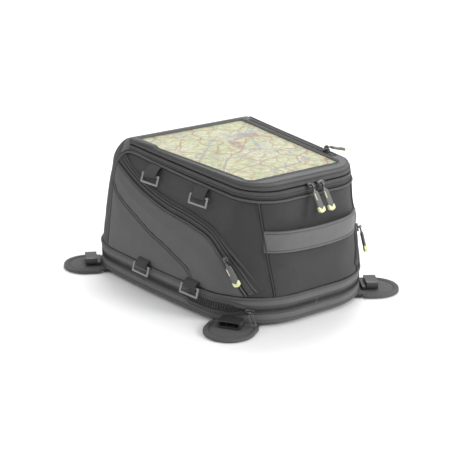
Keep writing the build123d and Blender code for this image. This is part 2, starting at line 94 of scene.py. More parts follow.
def circle_through(a, b, c):
    """Centre and radius of the circle through three points of the plane."""
    (ax, ay), (bx, by), (cx, cy) = a, b, c
    d = 2 * (ax * (by - cy) + bx * (cy - ay) + cx * (ay - by))
    aa, bb, cc = ax * ax + ay * ay, bx * bx + by * by, cx * cx + cy * cy
    x = (aa * (by - cy) + bb * (cy - ay) + cc * (ay - by)) / d
    y = (aa * (cx - bx) + bb * (ax - cx) + cc * (bx - ax)) / d
    return np.array([x, y]), hypot(ax - x, ay - y)


def arc(centre, radius, start, stop, count):
    """count points after start, up to stop, on a circle."""
    angles = np.linspace(start, stop, count + 1)[1:]
    return centre + radius * np.c_[np.cos(angles), np.sin(angles)]


def half_outline(halves, ends, radii, bulge):
    """The right half of a level section, from the middle of the rear to the middle of the front."""
    middle = ((halves[0] + halves[1]) / 2 + bulge, (ends[0] + ends[1]) / 2)
    side_centre, side_radius = circle_through((halves[0], ends[0]), middle, (halves[1], ends[1]))
    centres = []
    for y in (ends[0] + radii[0], ends[1] - radii[1]):
        radius = radii[len(centres)]
        x = side_centre[0] + sqrt((side_radius - radius) ** 2 - (y - side_centre[1]) ** 2)
        centres.append(np.array([x, y]))
    turns = [atan2(*(c - side_centre)[::-1]) for c in centres]
    rear = np.c_[np.linspace(0, centres[0][0], STEPS[0] + 1), np.full(STEPS[0] + 1, ends[0])]
    front = np.c_[np.linspace(centres[1][0], 0, STEPS[4] + 1), np.full(STEPS[4] + 1, ends[1])][1:]
    return np.vstack([
        rear,
        arc(centres[0], radii[0], -pi / 2, turns[0], STEPS[1]),
        arc(side_centre, side_radius, turns[0], turns[1], STEPS[2]),
        arc(centres[1], radii[1], turns[1], pi / 2, STEPS[3]),
        front])


def full_outline(level):
    right = half_outline(*level[1:])
    return np.vstack([right, right[-2:0:-1] * (-1, 1)])


LOOPS = np.array([full_outline(level) for level in LEVELS])
LEVEL_Z = np.array([level[0] for level in LEVELS])


def surface(i, z):
    """Points of the bag's outside at heights z; i counts round the loop from the middle of the rear."""
    i, z = np.broadcast_arrays(np.asarray(i, float), np.asarray(z, float))
    whole = np.floor(i).astype(int)
    part = (i - whole)[..., None]
    here, after = whole % COUNT, (whole + 1) % COUNT
    xy = np.zeros(i.shape + (2,))
    for step in SOFTEN:
        height = np.clip(z + step, LEVEL_Z[0], LEVEL_Z[-1])
        k = np.clip(np.searchsorted(LEVEL_Z, height, side="right") - 1, 0, len(LEVELS) - 2)
        t = ((height - LEVEL_Z[k]) / (LEVEL_Z[k + 1] - LEVEL_Z[k]))[..., None]
        low = LOOPS[k, here] * (1 - part) + LOOPS[k, after] * part
        high = LOOPS[k + 1, here] * (1 - part) + LOOPS[k + 1, after] * part
        xy += low * (1 - t) + high * t
    return np.concatenate([xy / len(SOFTEN), z[..., None]], axis=-1)


def unit(v):
    return v / np.maximum(np.linalg.norm(v, axis=-1, keepdims=True), 1e-12)


def outward(i, z):
    along = surface(i + 0.4, z) - surface(i - 0.4, z)
    rise = surface(i, z + 0.002) - surface(i, z - 0.002)
    return unit(np.cross(along, rise))


def skin(i, z, out=0.0):
    """Points a distance out from the bag's outside."""
    i, z = np.broadcast_arrays(np.asarray(i, float), np.asarray(z, float))
    return surface(i, z) + np.asarray(out)[..., None] * outward(i, z)


def bisect(low, high, is_before):
    """Loop positions between low and high at which is_before turns false."""
    for _ in range(24):
        middle = (low + high) / 2
        before = is_before(middle)
        low, high = np.where(before, middle, low), np.where(before, high, middle)
    return (low + high) / 2


def find(y, z, side):
    """Loop positions where the bag's side has the given y at heights z."""
    y, z = np.broadcast_arrays(np.asarray(y, float), np.asarray(z, float))
    ends = np.full(y.shape, float(STEPS[0])), np.full(y.shape, float(HALF - STEPS[4]))
    return side * bisect(*ends, lambda i: surface(i, z)[..., 1] < y)


def on_line(line, y):
    (ya, za), (yb, zb) = line
    return za + (zb - za) * (np.asarray(y) - ya) / (yb - ya)


SHOULDER_CENTRE, SHOULDER_RADIUS = circle_through(CREST, *SHOULDER)


def top(y):
    """Height of the bag's top line: a gentle rise to the crest, then the rounded front shoulder."""
    y = np.asarray(y, float)
    drop = np.clip(y - SHOULDER_CENTRE[0], -SHOULDER_RADIUS, SHOULDER_RADIUS * 0.99)
    fall = SHOULDER_CENTRE[1] + np.sqrt(SHOULDER_RADIUS ** 2 - drop ** 2)
    return np.where(y <= CREST[0], on_line((REAR_TOP, CREST), y), fall)


def smoothstep(x, a, b):
    t = np.clip((np.asarray(x, float) - a) / (b - a), 0, 1)
    return t * t * (3 - 2 * t)


# ---- Mesh makers ----
def new_object(name, mesh):
    obj = bpy.data.objects.new(name, mesh)
    bpy.context.scene.collection.objects.link(obj)
    return obj


def build(name, verts, faces, uvs=None, sharp=35.0):
    """An object from points and faces, smooth but for edges sharper than the angle; one uv a corner."""
    mesh = bpy.data.meshes.new(name)
    mesh.from_pydata([tuple(v) for v in verts], [], [list(f) for f in faces])
    if uvs is not None:
        layer = mesh.uv_layers.new(name="Cloth")
        layer.data.foreach_set("uv", np.asarray(uvs, np.float32).ravel())
    work = bmesh.new()
    work.from_mesh(mesh)
    bmesh.ops.recalc_face_normals(work, faces=work.faces)
    work.to_mesh(mesh)
    work.free()
    mesh.polygons.foreach_set("use_smooth", [True] * len(mesh.polygons))
    mesh.set_sharp_from_angle(angle=radians(sharp))
    return new_object(name, mesh)


def lengths(grid, axis):
    """Running length along one axis of a grid of points, from 0."""
    steps = np.linalg.norm(np.diff(grid, axis=axis), axis=-1)
    total = np.cumsum(steps, axis=axis)
    pad = [(0, 0), (0, 0)]
    pad[axis] = (1, 0)
    return np.pad(total, pad)


def slab(name, outer, inner):
    """A closed sheet between two matching grids of points."""
    rows, cols = outer.shape[:2]
    u = lengths(outer, 0).mean(axis=1, keepdims=True) + np.zeros(outer.shape[:2])
    v = lengths(outer, 1)
    faces, uvs = [], []

    def add(*corners):
        faces.append([(layer * rows + r) * cols + c for r, c, layer in corners])
        uvs.extend((u[r, c], v[r, c]) for r, c, _ in corners)

    last, end = rows - 1, cols - 1
    for r in range(last):
        for c in range(end):
            add((r, c, 0), (r + 1, c, 0), (r + 1, c + 1, 0), (r, c + 1, 0))
            add((r, c, 1), (r, c + 1, 1), (r + 1, c + 1, 1), (r + 1, c, 1))
        add((r, 0, 0), (r, 0, 1), (r + 1, 0, 1), (r + 1, 0, 0))
        add((r, end, 0), (r + 1, end, 0), (r + 1, end, 1), (r, end, 1))
    for c in range(end):
        add((0, c, 0), (0, c + 1, 0), (0, c + 1, 1), (0, c, 1))
        add((last, c, 0), (last, c, 1), (last, c + 1, 1), (last, c + 1, 0))
    return build(name, np.concatenate([outer.reshape(-1, 3), inner.reshape(-1, 3)]), faces, uvs)


def tube(name, rings, closed=False, sharp=35.0, cap=None):
    """Closed rings of points joined along their row; the ends are capped unless the row is closed.

    cap gives the ends' own cloth coordinates, as an addition to the length along the row."""
    rows, cols = rings.shape[:2]
    wide = np.concatenate([rings, rings[:, :1]], axis=1)
    if closed:
        wide = np.concatenate([wide, wide[:1]])
    u, v = lengths(wide, 0).mean(axis=1), lengths(wide, 1).mean(axis=0)
    if cap is None:
        cap = np.c_[np.zeros(cols), v[:cols]]
    faces, uvs = [], []
    for r in range(rows if closed else rows - 1):
        for c in range(cols):
            corners = [(r, c), (r + 1, c), (r + 1, c + 1), (r, c + 1)]
            faces.append([(a % rows) * cols + b % cols for a, b in corners])
            uvs.extend((u[a], v[b]) for a, b in corners)
    for r in () if closed else (0, rows - 1):
        faces.append([r * cols + c for c in range(cols)])
        uvs.extend((u[r] + a, b) for a, b in cap)
    return build(name, rings.reshape(-1, 3), faces, uvs, sharp)


def sweep(name, points, normals, profile, closed=False, sharp=35.0):
    """A closed profile of (across, out) pairs swept along points; across is to the right from outside."""
    points, normals = np.asarray(points, float), np.asarray(normals, float)
    if closed:
        tangent = np.roll(points, -1, axis=0) - np.roll(points, 1, axis=0)
    else:
        tangent = np.gradient(points, axis=0)
    across = unit(np.cross(unit(tangent), normals))
    out = unit(np.cross(across, unit(tangent)))
    profile = np.asarray(profile, float)
    rings = points[:, None] + profile[None, :, :1] * across[:, None] + profile[None, :, 1:] * out[:, None]
    return tube(name, rings, closed, sharp, profile)


def round_profile(width, height, centre=(0.0, 0.0), count=12, power=2.0):
    """An oval profile; a power over 2 makes it squarer."""
    angles = np.linspace(0, 2 * pi, count, endpoint=False)
    c, s = np.cos(angles), np.sin(angles)
    x = np.sign(c) * np.abs(c) ** (2 / power) * width / 2
    y = np.sign(s) * np.abs(s) ** (2 / power) * height / 2
    return np.c_[x + centre[0], y + centre[1]]


def spline(points, spacing):
    """A smooth line through the points, divided evenly."""
    points = np.asarray(points, float)
    padded = np.vstack([2 * points[0] - points[1], points, 2 * points[-1] - points[-2]])
    fine = []
    for k in range(1, len(padded) - 2):
        a, b, c, d = padded[k - 1:k + 3]
        t = np.linspace(0, 1, 24, endpoint=False)[:, None]
        fine.append(0.5 * (2 * b + (c - a) * t + (2 * a - 5 * b + 4 * c - d) * t ** 2
                           + (3 * b - a - 3 * c + d) * t ** 3))
    fine = np.vstack(fine + [points[-1:]])
    return even(fine, spacing)


def run_of(points):
    """Length along a line up to each of its points."""
    return np.r_[0, np.cumsum(np.linalg.norm(np.diff(points, axis=0), axis=1))]


def read_off(data, run, at):
    """Rows of data, which go with lengths run along a line, at other lengths."""
    return np.column_stack([np.interp(at, run, column) for column in data.T])


def resample(line, count):
    """The same line with count evenly spaced points."""
    run = run_of(line)
    return read_off(line, run, np.linspace(0, run[-1], count))


def even(line, spacing):
    """The same line with evenly spaced points."""
    return resample(line, max(2, int(round(run_of(line)[-1] / spacing)) + 1))


def offset(line, distance):
    """A side-view line moved to its left, seen from its start to its end with +y right and +z up."""
    step = unit(np.gradient(line, axis=0))
    return line + distance * np.c_[-step[:, 1], step[:, 0]]


def joined(name, objects):
    """One object from several."""
    work = bmesh.new()
    for obj in objects:
        mesh = obj.data
        mesh.transform(obj.matrix_world)
        work.from_mesh(mesh)
    mesh = bpy.data.meshes.new(name)
    work.to_mesh(mesh)
    work.free()
    for obj in objects:
        old = obj.data
        bpy.data.objects.remove(obj)
        bpy.data.meshes.remove(old)
    mesh.polygons.foreach_set("use_smooth", [True] * len(mesh.polygons))
    mesh.set_sharp_from_angle(angle=radians(35))
    return new_object(name, mesh)


def apply_modifiers(obj):
    """Keeps what the object's modifiers make as its mesh."""
    graph = bpy.context.evaluated_depsgraph_get()
    made = bpy.data.meshes.new_from_object(obj.evaluated_get(graph))
    obj.modifiers.clear()
    obj.data = made
    return obj


def put(obj, material, body, replaces=()):
    """Gives a finished piece its material, its body and the nodes it stands for."""
    if material is not None:
        obj.data.materials.append(material)
    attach(obj, body)
    if replaces:
        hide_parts(*replaces)
    return obj


# ---- Materials ----
class Look:
    """A material being put together; its textures use the piece's own cloth coordinates, or the object's."""

    def __init__(self, name, roughness=0.8, cloth=True, **constants):
        self.material = bpy.data.materials.new(name)
        self.material.use_nodes = True
        self.tree = self.material.node_tree
        self.shader = self.tree.nodes["Principled BSDF"]
        self.shader.inputs["Roughness"].default_value = roughness
        for key, value in constants.items():
            self.shader.inputs[key.replace("_", " ")].default_value = value
        if cloth:
            source = self.node("ShaderNodeUVMap")
            source.uv_map = "Cloth"
            self.place = source.outputs["UV"]
        else:
            self.place = self.node("ShaderNodeTexCoord").outputs["Object"]

    def node(self, kind, **settings):
        made = self.tree.nodes.new(kind)
        for key, value in settings.items():
            setattr(made, key, value)
        return made

    def feed(self, socket, value):
        if isinstance(value, bpy.types.NodeSocket):
            self.tree.links.new(value, socket)
        else:
            socket.default_value = value

    def math(self, operation, *values):
        made = self.node("ShaderNodeMath", operation=operation)
        for socket, value in zip(made.inputs, values):
            self.feed(socket, value)
        return made.outputs[0]

    def noise(self, scale, detail=3.0, rough=0.5, place=None, distortion=0.0):
        made = self.node("ShaderNodeTexNoise")
        self.feed(made.inputs["Vector"], place or self.place)
        settings = {"Scale": scale, "Detail": detail, "Roughness": rough, "Distortion": distortion}
        for key, value in settings.items():
            made.inputs[key].default_value = value
        return made.outputs["Fac"]

    def cells(self, scale, feature="F1", place=None):
        made = self.node("ShaderNodeTexVoronoi", feature=feature)
        self.feed(made.inputs["Vector"], place or self.place)
        made.inputs["Scale"].default_value = scale
        return made.outputs["Distance"]

    def axes(self):
        made = self.node("ShaderNodeSeparateXYZ")
        self.feed(made.inputs[0], self.place)
        return made.outputs

    def wave(self, value, pitch):
        return self.math("SINE", self.math("MULTIPLY", value, 2 * pi / pitch))

    def weave(self, pitch):
        u, v, _ = self.axes()
        return self.math("MULTIPLY", self.wave(u, pitch), self.wave(v, pitch))

    def twill(self, pitch):
        u, v, _ = self.axes()
        return self.wave(self.math("ADD", u, v), pitch)

    def ramp(self, value, stops):
        made = self.node("ShaderNodeValToRGB")
        while len(made.color_ramp.elements) < len(stops):
            made.color_ramp.elements.new(1.0)
        for element, (place, color) in zip(made.color_ramp.elements, stops):
            element.position = place
            element.color = (*color, 1.0)
        self.feed(made.inputs[0], value)
        return made.outputs[0]

    def mix(self, factor, a, b, blend="MIX"):
        """b over a by a factor; each is a socket or a colour."""
        made = self.node("ShaderNodeMix", data_type="RGBA", blend_type=blend)
        self.feed(made.inputs["Factor"], factor)
        for key, value in (("A", a), ("B", b)):
            socket = [s for s in made.inputs if s.name == key and s.type == "RGBA"][0]
            self.feed(socket, value if isinstance(value, bpy.types.NodeSocket) else (*value, 1.0))
        return [s for s in made.outputs if s.type == "RGBA"][0]

    def tone(self, color, spread, value):
        """The colour, darker and lighter by a share as value goes from 0 to 1."""
        dark = tuple(c * (1 - spread) for c in color)
        light = tuple(c * (1 + spread) for c in color)
        return self.ramp(value, ((0.25, dark), (0.75, light)))

    def color(self, value):
        self.feed(self.shader.inputs["Base Color"], value)

    def rough(self, value, low, high):
        made = self.node("ShaderNodeMapRange")
        self.feed(made.inputs["Value"], value)
        made.inputs["To Min"].default_value = low
        made.inputs["To Max"].default_value = high
        self.feed(self.shader.inputs["Roughness"], made.outputs[0])

    def bump(self, *layers):
        """Layers of (height, depth in metres)."""
        normal = None
        for height, depth in layers:
            made = self.node("ShaderNodeBump")
            made.inputs["Distance"].default_value = depth
            self.feed(made.inputs["Height"], height)
            if normal is not None:
                self.feed(made.inputs["Normal"], normal)
            normal = made.outputs[0]
        self.feed(self.shader.inputs["Normal"], normal)


def grey(value, tint=(1.0, 1.0, 1.0)):
    return tuple(value * t for t in tint)


def fabric(name, value, pitch, depth=0.00018, tint=(1.0, 1.0, 1.02), cloth=True, sheen=0.15):
    """Woven cloth with the given thread pitch and relief."""
    look = Look(name, 0.82, cloth, Sheen_Weight=sheen, Sheen_Roughness=0.5)
    threads = look.weave(pitch)
    blotch = look.noise(55.0, 4.0, 0.6)
    slub = look.noise(900.0, 2.0, 0.6)
    mixed = look.math("ADD", look.math("MULTIPLY", blotch, 0.55), look.math("MULTIPLY", slub, 0.45))
    base = look.tone(grey(value, tint), 0.12, mixed)
    pits = look.math("MULTIPLY_ADD", threads, 0.09, 0.91)
    look.color(look.mix(1.0, base, look.ramp(pits, ((0.0, (0, 0, 0)), (1.0, (1, 1, 1)))), "MULTIPLY"))
    look.rough(slub, 0.76, 0.88)
    look.bump((threads, depth), (slub, depth * 0.8), (blotch, 0.0004))
    return look.material


def soft_touch():
    look = Look("soft_touch_panel", 0.55, Sheen_Weight=0.1, Specular_IOR_Level=0.4)
    grain = look.cells(1500.0)
    blotch = look.noise(40.0, 3.0, 0.55)
    look.color(look.tone(grey(0.074, (1.0, 1.0, 1.01)), 0.07, blotch))
    look.rough(look.noise(300.0), 0.5, 0.62)
    look.bump((grain, 0.00006), (blotch, 0.0005))
    return look.material


def leather():
    look = Look("handle_leather", 0.5, Specular_IOR_Level=0.45)
    grain = look.cells(900.0, "SMOOTH_F1")
    blotch = look.noise(70.0, 4.0, 0.6)
    look.color(look.tone(grey(0.108, (1.0, 1.0, 1.015)), 0.1, blotch))
    look.rough(blotch, 0.42, 0.58)
    look.bump((grain, 0.0001), (look.noise(2500.0), 0.00004))
    return look.material


def tape(name, value, pitch=0.0011):
    """Ribbed woven tape."""
    look = Look(name, 0.75, Sheen_Weight=0.1)
    ribs = look.twill(pitch)
    fine = look.weave(pitch * 0.45)
    blotch = look.noise(60.0, 4.0, 0.6)
    look.color(look.tone(grey(value), 0.14, look.math("ADD", look.math("MULTIPLY", blotch, 0.7),
                                                     look.math("MULTIPLY", ribs, 0.15))))
    look.bump((ribs, 0.00016), (fine, 0.00008))
    return look.material


def plastic(name, value, roughness=0.42, cloth=False):
    look = Look(name, roughness, cloth, Specular_IOR_Level=0.5)
    speck = look.noise(1800.0, 2.0, 0.6)
    wear = look.noise(120.0, 4.0, 0.6)
    look.color(look.tone(grey(value), 0.12, wear))
    look.rough(wear, roughness - 0.08, roughness + 0.1)
    look.bump((speck, 0.00005))
    return look.material


def metal(name, value, roughness):
    look = Look(name, roughness, False, Metallic=1.0)
    wear = look.noise(260.0, 5.0, 0.65)
    look.color(look.tone(grey(value), 0.2, wear))
    look.rough(wear, roughness - 0.1, roughness + 0.15)
    look.bump((look.noise(1400.0, 3.0, 0.6), 0.00003))
    return look.material


def grip_cord():
    look = Look("pull_grip", 0.6, True)
    ribs = look.wave(look.axes()[0], 0.0012)
    fine = look.noise(1800.0, 2.0, 0.7)
    look.color(look.tone(grey(0.16), 0.35, look.math("ADD", look.math("MULTIPLY", fine, 0.8),
                                                    look.math("MULTIPLY", ribs, 0.12))))
    look.bump((ribs, 0.00016), (fine, 0.00012))
    return look.material


def pale_yellow():
    look = Look("pull_highlight", 0.4, True, Specular_IOR_Level=0.5)
    look.color(look.tone((0.76, 0.78, 0.42), 0.08, look.noise(300.0)))
    look.bump((look.noise(1500.0), 0.00004))
    return look.material


def rubber():
    look = Look("grip_rubber", 0.7, False)
    dots = look.cells(260.0)
    look.color(look.tone(grey(0.03), 0.2, look.noise(80.0)))
    look.bump((dots, 0.0006))
    return look.material


def board():
    look = Look("base_board", 0.55, False)
    look.color(look.tone(grey(0.028), 0.2, look.noise(60.0)))
    look.bump((look.noise(700.0, 3.0), 0.00012))
    return look.material


def film():
    look = Look("clear_film", 0.08, True, Alpha=0.05, Specular_IOR_Level=0.5)
    look.color(look.tone((0.75, 0.76, 0.74), 0.05, look.noise(20.0)))
    look.rough(look.noise(35.0), 0.05, 0.14)
    look.bump((look.noise(18.0, 3.0, 0.5), 0.0008))
    return look.material


# lines on the map: how many to a metre, width, colour, strength
ROADS = ((105.0, 0.08, (0.30, 0.27, 0.20), 0.5), (44.0, 0.06, (0.42, 0.22, 0.06), 0.9),
         (19.0, 0.034, (0.34, 0.10, 0.04), 0.95), (12.0, 0.020, (0.16, 0.20, 0.42), 0.8))


def map_paper():
    """A made-up road map: woods, fields, towns, water, and lines of four widths."""
    look = Look("map_paper", 0.45, True, Coat_Weight=0.6, Coat_Roughness=0.12)
    warp = look.node("ShaderNodeVectorMath", operation="ADD")
    bend = look.node("ShaderNodeTexNoise")
    look.feed(bend.inputs["Vector"], look.place)
    bend.inputs["Scale"].default_value = 28.0
    bend.inputs["Detail"].default_value = 3.0
    scale = look.node("ShaderNodeVectorMath", operation="SCALE")
    look.feed(scale.inputs[0], bend.outputs["Color"])
    scale.inputs["Scale"].default_value = 0.022
    look.feed(warp.inputs[0], look.place)
    look.feed(warp.inputs[1], scale.outputs[0])
    bent = warp.outputs[0]
    land = look.ramp(look.noise(13.0, 6.0, 0.62, bent),
                     ((0.34, (0.36, 0.42, 0.17)), (0.44, (0.52, 0.55, 0.25)), (0.53, (0.66, 0.64, 0.38)),
                      (0.62, (0.72, 0.66, 0.56)), (0.74, (0.66, 0.57, 0.55))))
    relief = look.noise(120.0, 7.0, 0.7, bent)
    land = look.mix(0.5, land, look.ramp(relief, ((0.38, (0.16, 0.20, 0.07)), (0.60, (0.90, 0.86, 0.66)))))
    water = look.ramp(look.noise(30.0, 3.0, 0.5, bent, 0.6), ((0.64, (0, 0, 0)), (0.70, (1, 1, 1))))
    land = look.mix(look.math("MULTIPLY", water, 0.5), land, (0.34, 0.44, 0.62))
    specks = look.ramp(look.noise(480.0, 2.0, 0.8), ((0.58, (0, 0, 0)), (0.68, (1, 1, 1))))
    land = look.mix(look.math("MULTIPLY", specks, 0.4), land, (0.22, 0.21, 0.16))

    for spacing, width, color, strength in ROADS:
        gap = look.cells(spacing, "DISTANCE_TO_EDGE", bent)
        line = look.ramp(gap, ((0.0, (1, 1, 1)), (width, (0, 0, 0))))
        land = look.mix(look.math("MULTIPLY", line, strength), land, color)
    look.color(look.mix(1.0, land, (0.70, 0.74, 0.60), "MULTIPLY"))
    look.bump((look.noise(14.0, 3.0), 0.0008), (look.noise(1200.0), 0.00003))
    return look.material


def thread(name, value):
    look = Look(name, 0.7, False)
    look.color(look.tone(grey(value), 0.2, look.noise(900.0)))
    look.bump((look.noise(3000.0), 0.00006))
    return look.material


BODY = fabric("body_fabric", 0.038, 0.0009)
BAND = fabric("band_fabric", 0.132, 0.0007, 0.00012)
FLAP = fabric("flap_fabric", 0.085, 0.0008, 0.00012, sheen=0.1)
WEBBING = tape("webbing", 0.035, 0.0014)
ZIP_TAPE = tape("zip_tape", 0.085)
ZIP_COIL = plastic("zip_coil", 0.03, 0.5, cloth=True)
PIPING = tape("piping", 0.115, 0.0009)
SOFT = soft_touch()
LEATHER = leather()
NAVY = fabric("binding_navy", 0.028, 0.0007, 0.0001, tint=(0.85, 0.92, 1.5))
LINING = fabric("lining", 0.10, 0.0006, 0.0001)
RUBBER = rubber()
BOARD = board()
RING_METAL = metal("ring_metal", 0.30, 0.45)
SLIDER_METAL = metal("slider_metal", 0.13, 0.35)
MAGNET = metal("magnet", 0.2, 0.5)
GRIP = grip_cord()
HIGHLIGHT = pale_yellow()
BUCKLE = plastic("buckle_black", 0.03)
FILM = film()
MAP = map_paper()
THREAD = thread("dark_thread", 0.012)
PALE_THREAD = thread("grey_thread", 0.09)
# near-black cloth laid in grooves and gaps beside pipings, welts, zip slits and pocket edges as painted shade
SHADE = fabric("seam_shade", 0.006, 0.0008, 0.0001, sheen=0.0)


# ---- The bag and its lid, cut from one draped form ----
WALL_ROWS = 56
EDGE = (0.0038, 0.018)             # rounding of the top edge, at the lid and at the front shoulder
SKIN_T = 0.0045                    # padded fabric
HINGE_Y = PARTING[1][0]
# the window: left and right edge, y and corner radius, at the rider's end and at the front
WINDOW = ((-0.0815, 0.0720, -0.150, 0.010), (-0.1060, 0.0885, 0.098, 0.004))
WINDOW_MIDDLE = (-0.007, -0.02)
RECESS = 0.0026
MAP_GAP = 0.009                    # the map stops short of the window's rear edge


def rounded(corners, radii):
    """A polygon's outline with its corners rounded."""
    line = []
    for k, radius in enumerate(radii):
        here = np.array(corners[k], float)
        before = unit(np.array(corners[k - 1]) - here)
        after = unit(np.array(corners[(k + 1) % len(corners)]) - here)
        half = np.arccos(np.clip(before @ after, -1, 1)) / 2
        start = here + before * radius / np.tan(half)
        stop = here + after * radius / np.tan(half)
        centre = here + unit(before + after) * radius / np.sin(half)
        first = atan2(*(start - centre)[::-1])
        turn = (atan2(*(stop - centre)[::-1]) - first + pi) % (2 * pi) - pi
        for t in np.linspace(0, 1, 9):
            line.append(centre + radius * np.array([cos(first + t * turn), sin(first + t * turn)]))
    return np.array(line)


def closed_even(line, spacing):
    return even(np.vstack([line, line[:1]]), spacing)[:-1]


def window_outline(grow=0.0):
    (left_a, right_a, ya, ra), (left_b, right_b, yb, rb) = WINDOW
    corners = [(left_a - grow, ya - grow), (right_a + grow, ya - grow),
               (right_b + grow, yb + grow), (left_b - grow, yb + grow)]
    return rounded(corners, (ra + grow, ra + grow, rb + grow, rb + grow))


def by_ray(line, centre, angles):
    """The points of an outline at the given angles round a centre."""
    rel = closed_even(line, 0.0004) - centre
    turn = np.arctan2(rel[:, 1], rel[:, 0])
    order = np.argsort(turn)
    reach = np.interp(angles, turn[order], np.hypot(*rel.T)[order], period=2 * pi)
    return centre + reach[:, None] * np.c_[np.cos(angles), np.sin(angles)]


def with_top(xy, lift=0.0):
    return np.c_[xy, top(xy[:, 1]) + lift]


def wrinkles(points):
    """How far the slack fabric of the wall stands out at each point."""
    out = np.empty(len(points))
    for k, (x, y, z) in enumerate(points):
        broad = noise.noise(Vector((x * 16 + 3, y * 16, z * 22)))
        fold = noise.noise(Vector((x * 40 + y * 18, y * 30 - z * 26, z * 44 + 7)))
        slant = noise.noise(Vector((x * 9 + y * 7 + 5, z * 10, (z * 0.82 + x * 0.45 - y * 0.35) * 62)))
        corner = smoothstep(abs(x), 0.02, 0.07) * smoothstep(-y, 0.100, 0.135)
        out[k] = 0.0011 * broad + 0.0007 * fold + (0.0006 + 0.0035 * corner) * slant
    return out


def drape(i, z):
    """The wall with its slack and padding."""
    points = surface(i, z)
    rise = np.clip((z - BAG_RISE) / (on_line(PIPING_LINE, points[:, 1]) - BAG_RISE), 0, 1)
    fade = np.sin(np.pi * rise) ** 0.5
    side = smoothstep(points[:, 1], -0.178, -0.150) * smoothstep(-points[:, 1], -0.120, -0.105)
    out = fade * (wrinkles(points) * (1 - 0.75 * side) + 0.0012 * (1 - side))
    return points + out[:, None] * outward(i, z)


def form():
    """Rings of points up the walls, over the top edge and in to the window's middle, and the edge line."""
    i = np.arange(COUNT, dtype=float)
    z = np.full(COUNT, 0.19)
    for _ in range(14):
        z = top(surface(i, z)[:, 1])
    edge = surface(i, z)
    by = EDGE[0] + (EDGE[1] - EDGE[0]) * smoothstep(edge[:, 1], HINGE_Y, 0.138)
    flat = unit(outward(i, z) * (1, 1, 0))
    high = with_top((edge - flat * by[:, None])[:, :2])
    low_z = z - by
    rows = [drape(i, BAG_RISE + t * (low_z - BAG_RISE)) for t in np.linspace(0, 1, WALL_ROWS)]
    low = rows[-1]
    for t in np.linspace(0, 1, 8)[1:]:
        rows.append((1 - t) ** 2 * low + 2 * t * (1 - t) * edge + t * t * high)
    walls = len(rows)
    centre = np.array(WINDOW_MIDDLE)
    angles = np.arctan2(high[:, 1] - centre[1], high[:, 0] - centre[0])
    frame_line = by_ray(window_outline(0.0008), centre, angles)
    for t in np.linspace(0, 1, 13)[1:]:
        rows.append(with_top(high[:, :2] * (1 - t) + frame_line * t))
    for t in (0.0, 0.02, 0.15, 0.35, 0.6, 0.85, 0.97):
        rows.append(with_top(frame_line * (1 - t) + centre * t, -RECESS))
    middle = with_top(centre[None], -RECESS)
    rim = 0.25 * low + 0.5 * edge + 0.25 * high
    return np.array(rows), walls, middle, rim, unit(flat + (0, 0, 1))


ROWS, WALLS, MIDDLE, RIM, RIM_OUT = form()


def form_mesh():
    count = len(ROWS)
    u = run_of(surface(np.arange(COUNT + 1.0), 0.11))
    v = lengths(ROWS, 0)
    faces, uvs = [], []
    for r in range(count - 1):
        for c in range(COUNT):
            corners = [(r, c), (r, c + 1), (r + 1, c + 1), (r + 1, c)]
            faces.append([a * COUNT + b % COUNT for a, b in corners])
            if r + 1 < WALLS:
                uvs += [(u[b], v[a, b % COUNT]) for a, b in corners]
            else:
                uvs += [tuple(ROWS[a, b % COUNT, :2]) for a, b in corners]
    for c in range(COUNT):
        nxt = (c + 1) % COUNT
        faces.append([(count - 1) * COUNT + c, (count - 1) * COUNT + nxt, count * COUNT])
        uvs += [tuple(ROWS[-1, c, :2]), tuple(ROWS[-1, nxt, :2]), tuple(MIDDLE[0, :2])]
    return np.vstack([ROWS.reshape(-1, 3), MIDDLE]), faces, uvs


def shell_from_form(name, is_lid, materials):
    """The lid, or the bag under it, as a padded shell with a lining."""
    obj = build(name, *form_mesh(), sharp=60)
    sign = 1 if is_lid else -1
    (ya, za), (yb, zb) = PARTING
    up = Vector((0, za - zb, yb - ya)).normalized()
    at = Vector((0, ya, za)) + up * GAP * sign
    back = HINGE_Y - GAP * sign
    work = bmesh.new()
    work.from_mesh(obj.data)
    for point, normal in ((at, up), (Vector((0, back, 0)), Vector((0, 1, 0)))):
        bmesh.ops.bisect_plane(work, geom=work.verts[:] + work.edges[:] + work.faces[:], dist=1e-6,
                               plane_co=point, plane_no=normal)
    doomed = []
    for face in work.faces:
        middle = face.calc_center_median()
        above = (middle - at).dot(up) > 0 and middle.y < back
        if above != is_lid:
            doomed.append(face)
    bmesh.ops.delete(work, geom=doomed, context="FACES")
    bmesh.ops.dissolve_degenerate(work, edges=work.edges, dist=1e-5)
    work.to_mesh(obj.data)
    work.free()
    for material in materials:
        obj.data.materials.append(material)
    solid = obj.modifiers.new("padding", "SOLIDIFY")
    solid.thickness = SKIN_T
    solid.offset = -1.0
    solid.material_offset = 1
    solid.material_offset_rim = 0
    return apply_modifiers(obj)


bag = shell_from_form("bag_walls", False, (BODY, LINING))
put(bag, None, "bag", ("body_shell",))
lid = shell_from_form("lid_panel", True, (BAND, LINING))
put(lid, None, "lid", ("lid_shell",))


# ---- Lines round the bag ----
LINE_STEP = 0.0025                 # spacing of the points on a line
UNDER = 0.0008                     # how far a piece sewn on reaches into the wall


def around(z_of_y, y_stop):
    """An even line round the rear of the bag at heights z_of_y, from y_stop on one side to the other."""
    reach = float(find(y_stop, float(z_of_y(y_stop)), 1))
    i = np.arange(-reach, reach, 0.25)
    z = np.full(len(i), 0.18)
    for _ in range(8):
        z = z_of_y(surface(i, z)[:, 1]) + 0.0 * i
    run = run_of(surface(i, z))
    at = np.linspace(0, run[-1], int(round(run[-1] / LINE_STEP)) + 1)
    return np.interp(at, run, i), np.interp(at, run, z)


def on_side(line, side):
    """Loop positions and heights of a side-view (y, z) line."""
    return find(line[:, 0], line[:, 1], side), line[:, 1]


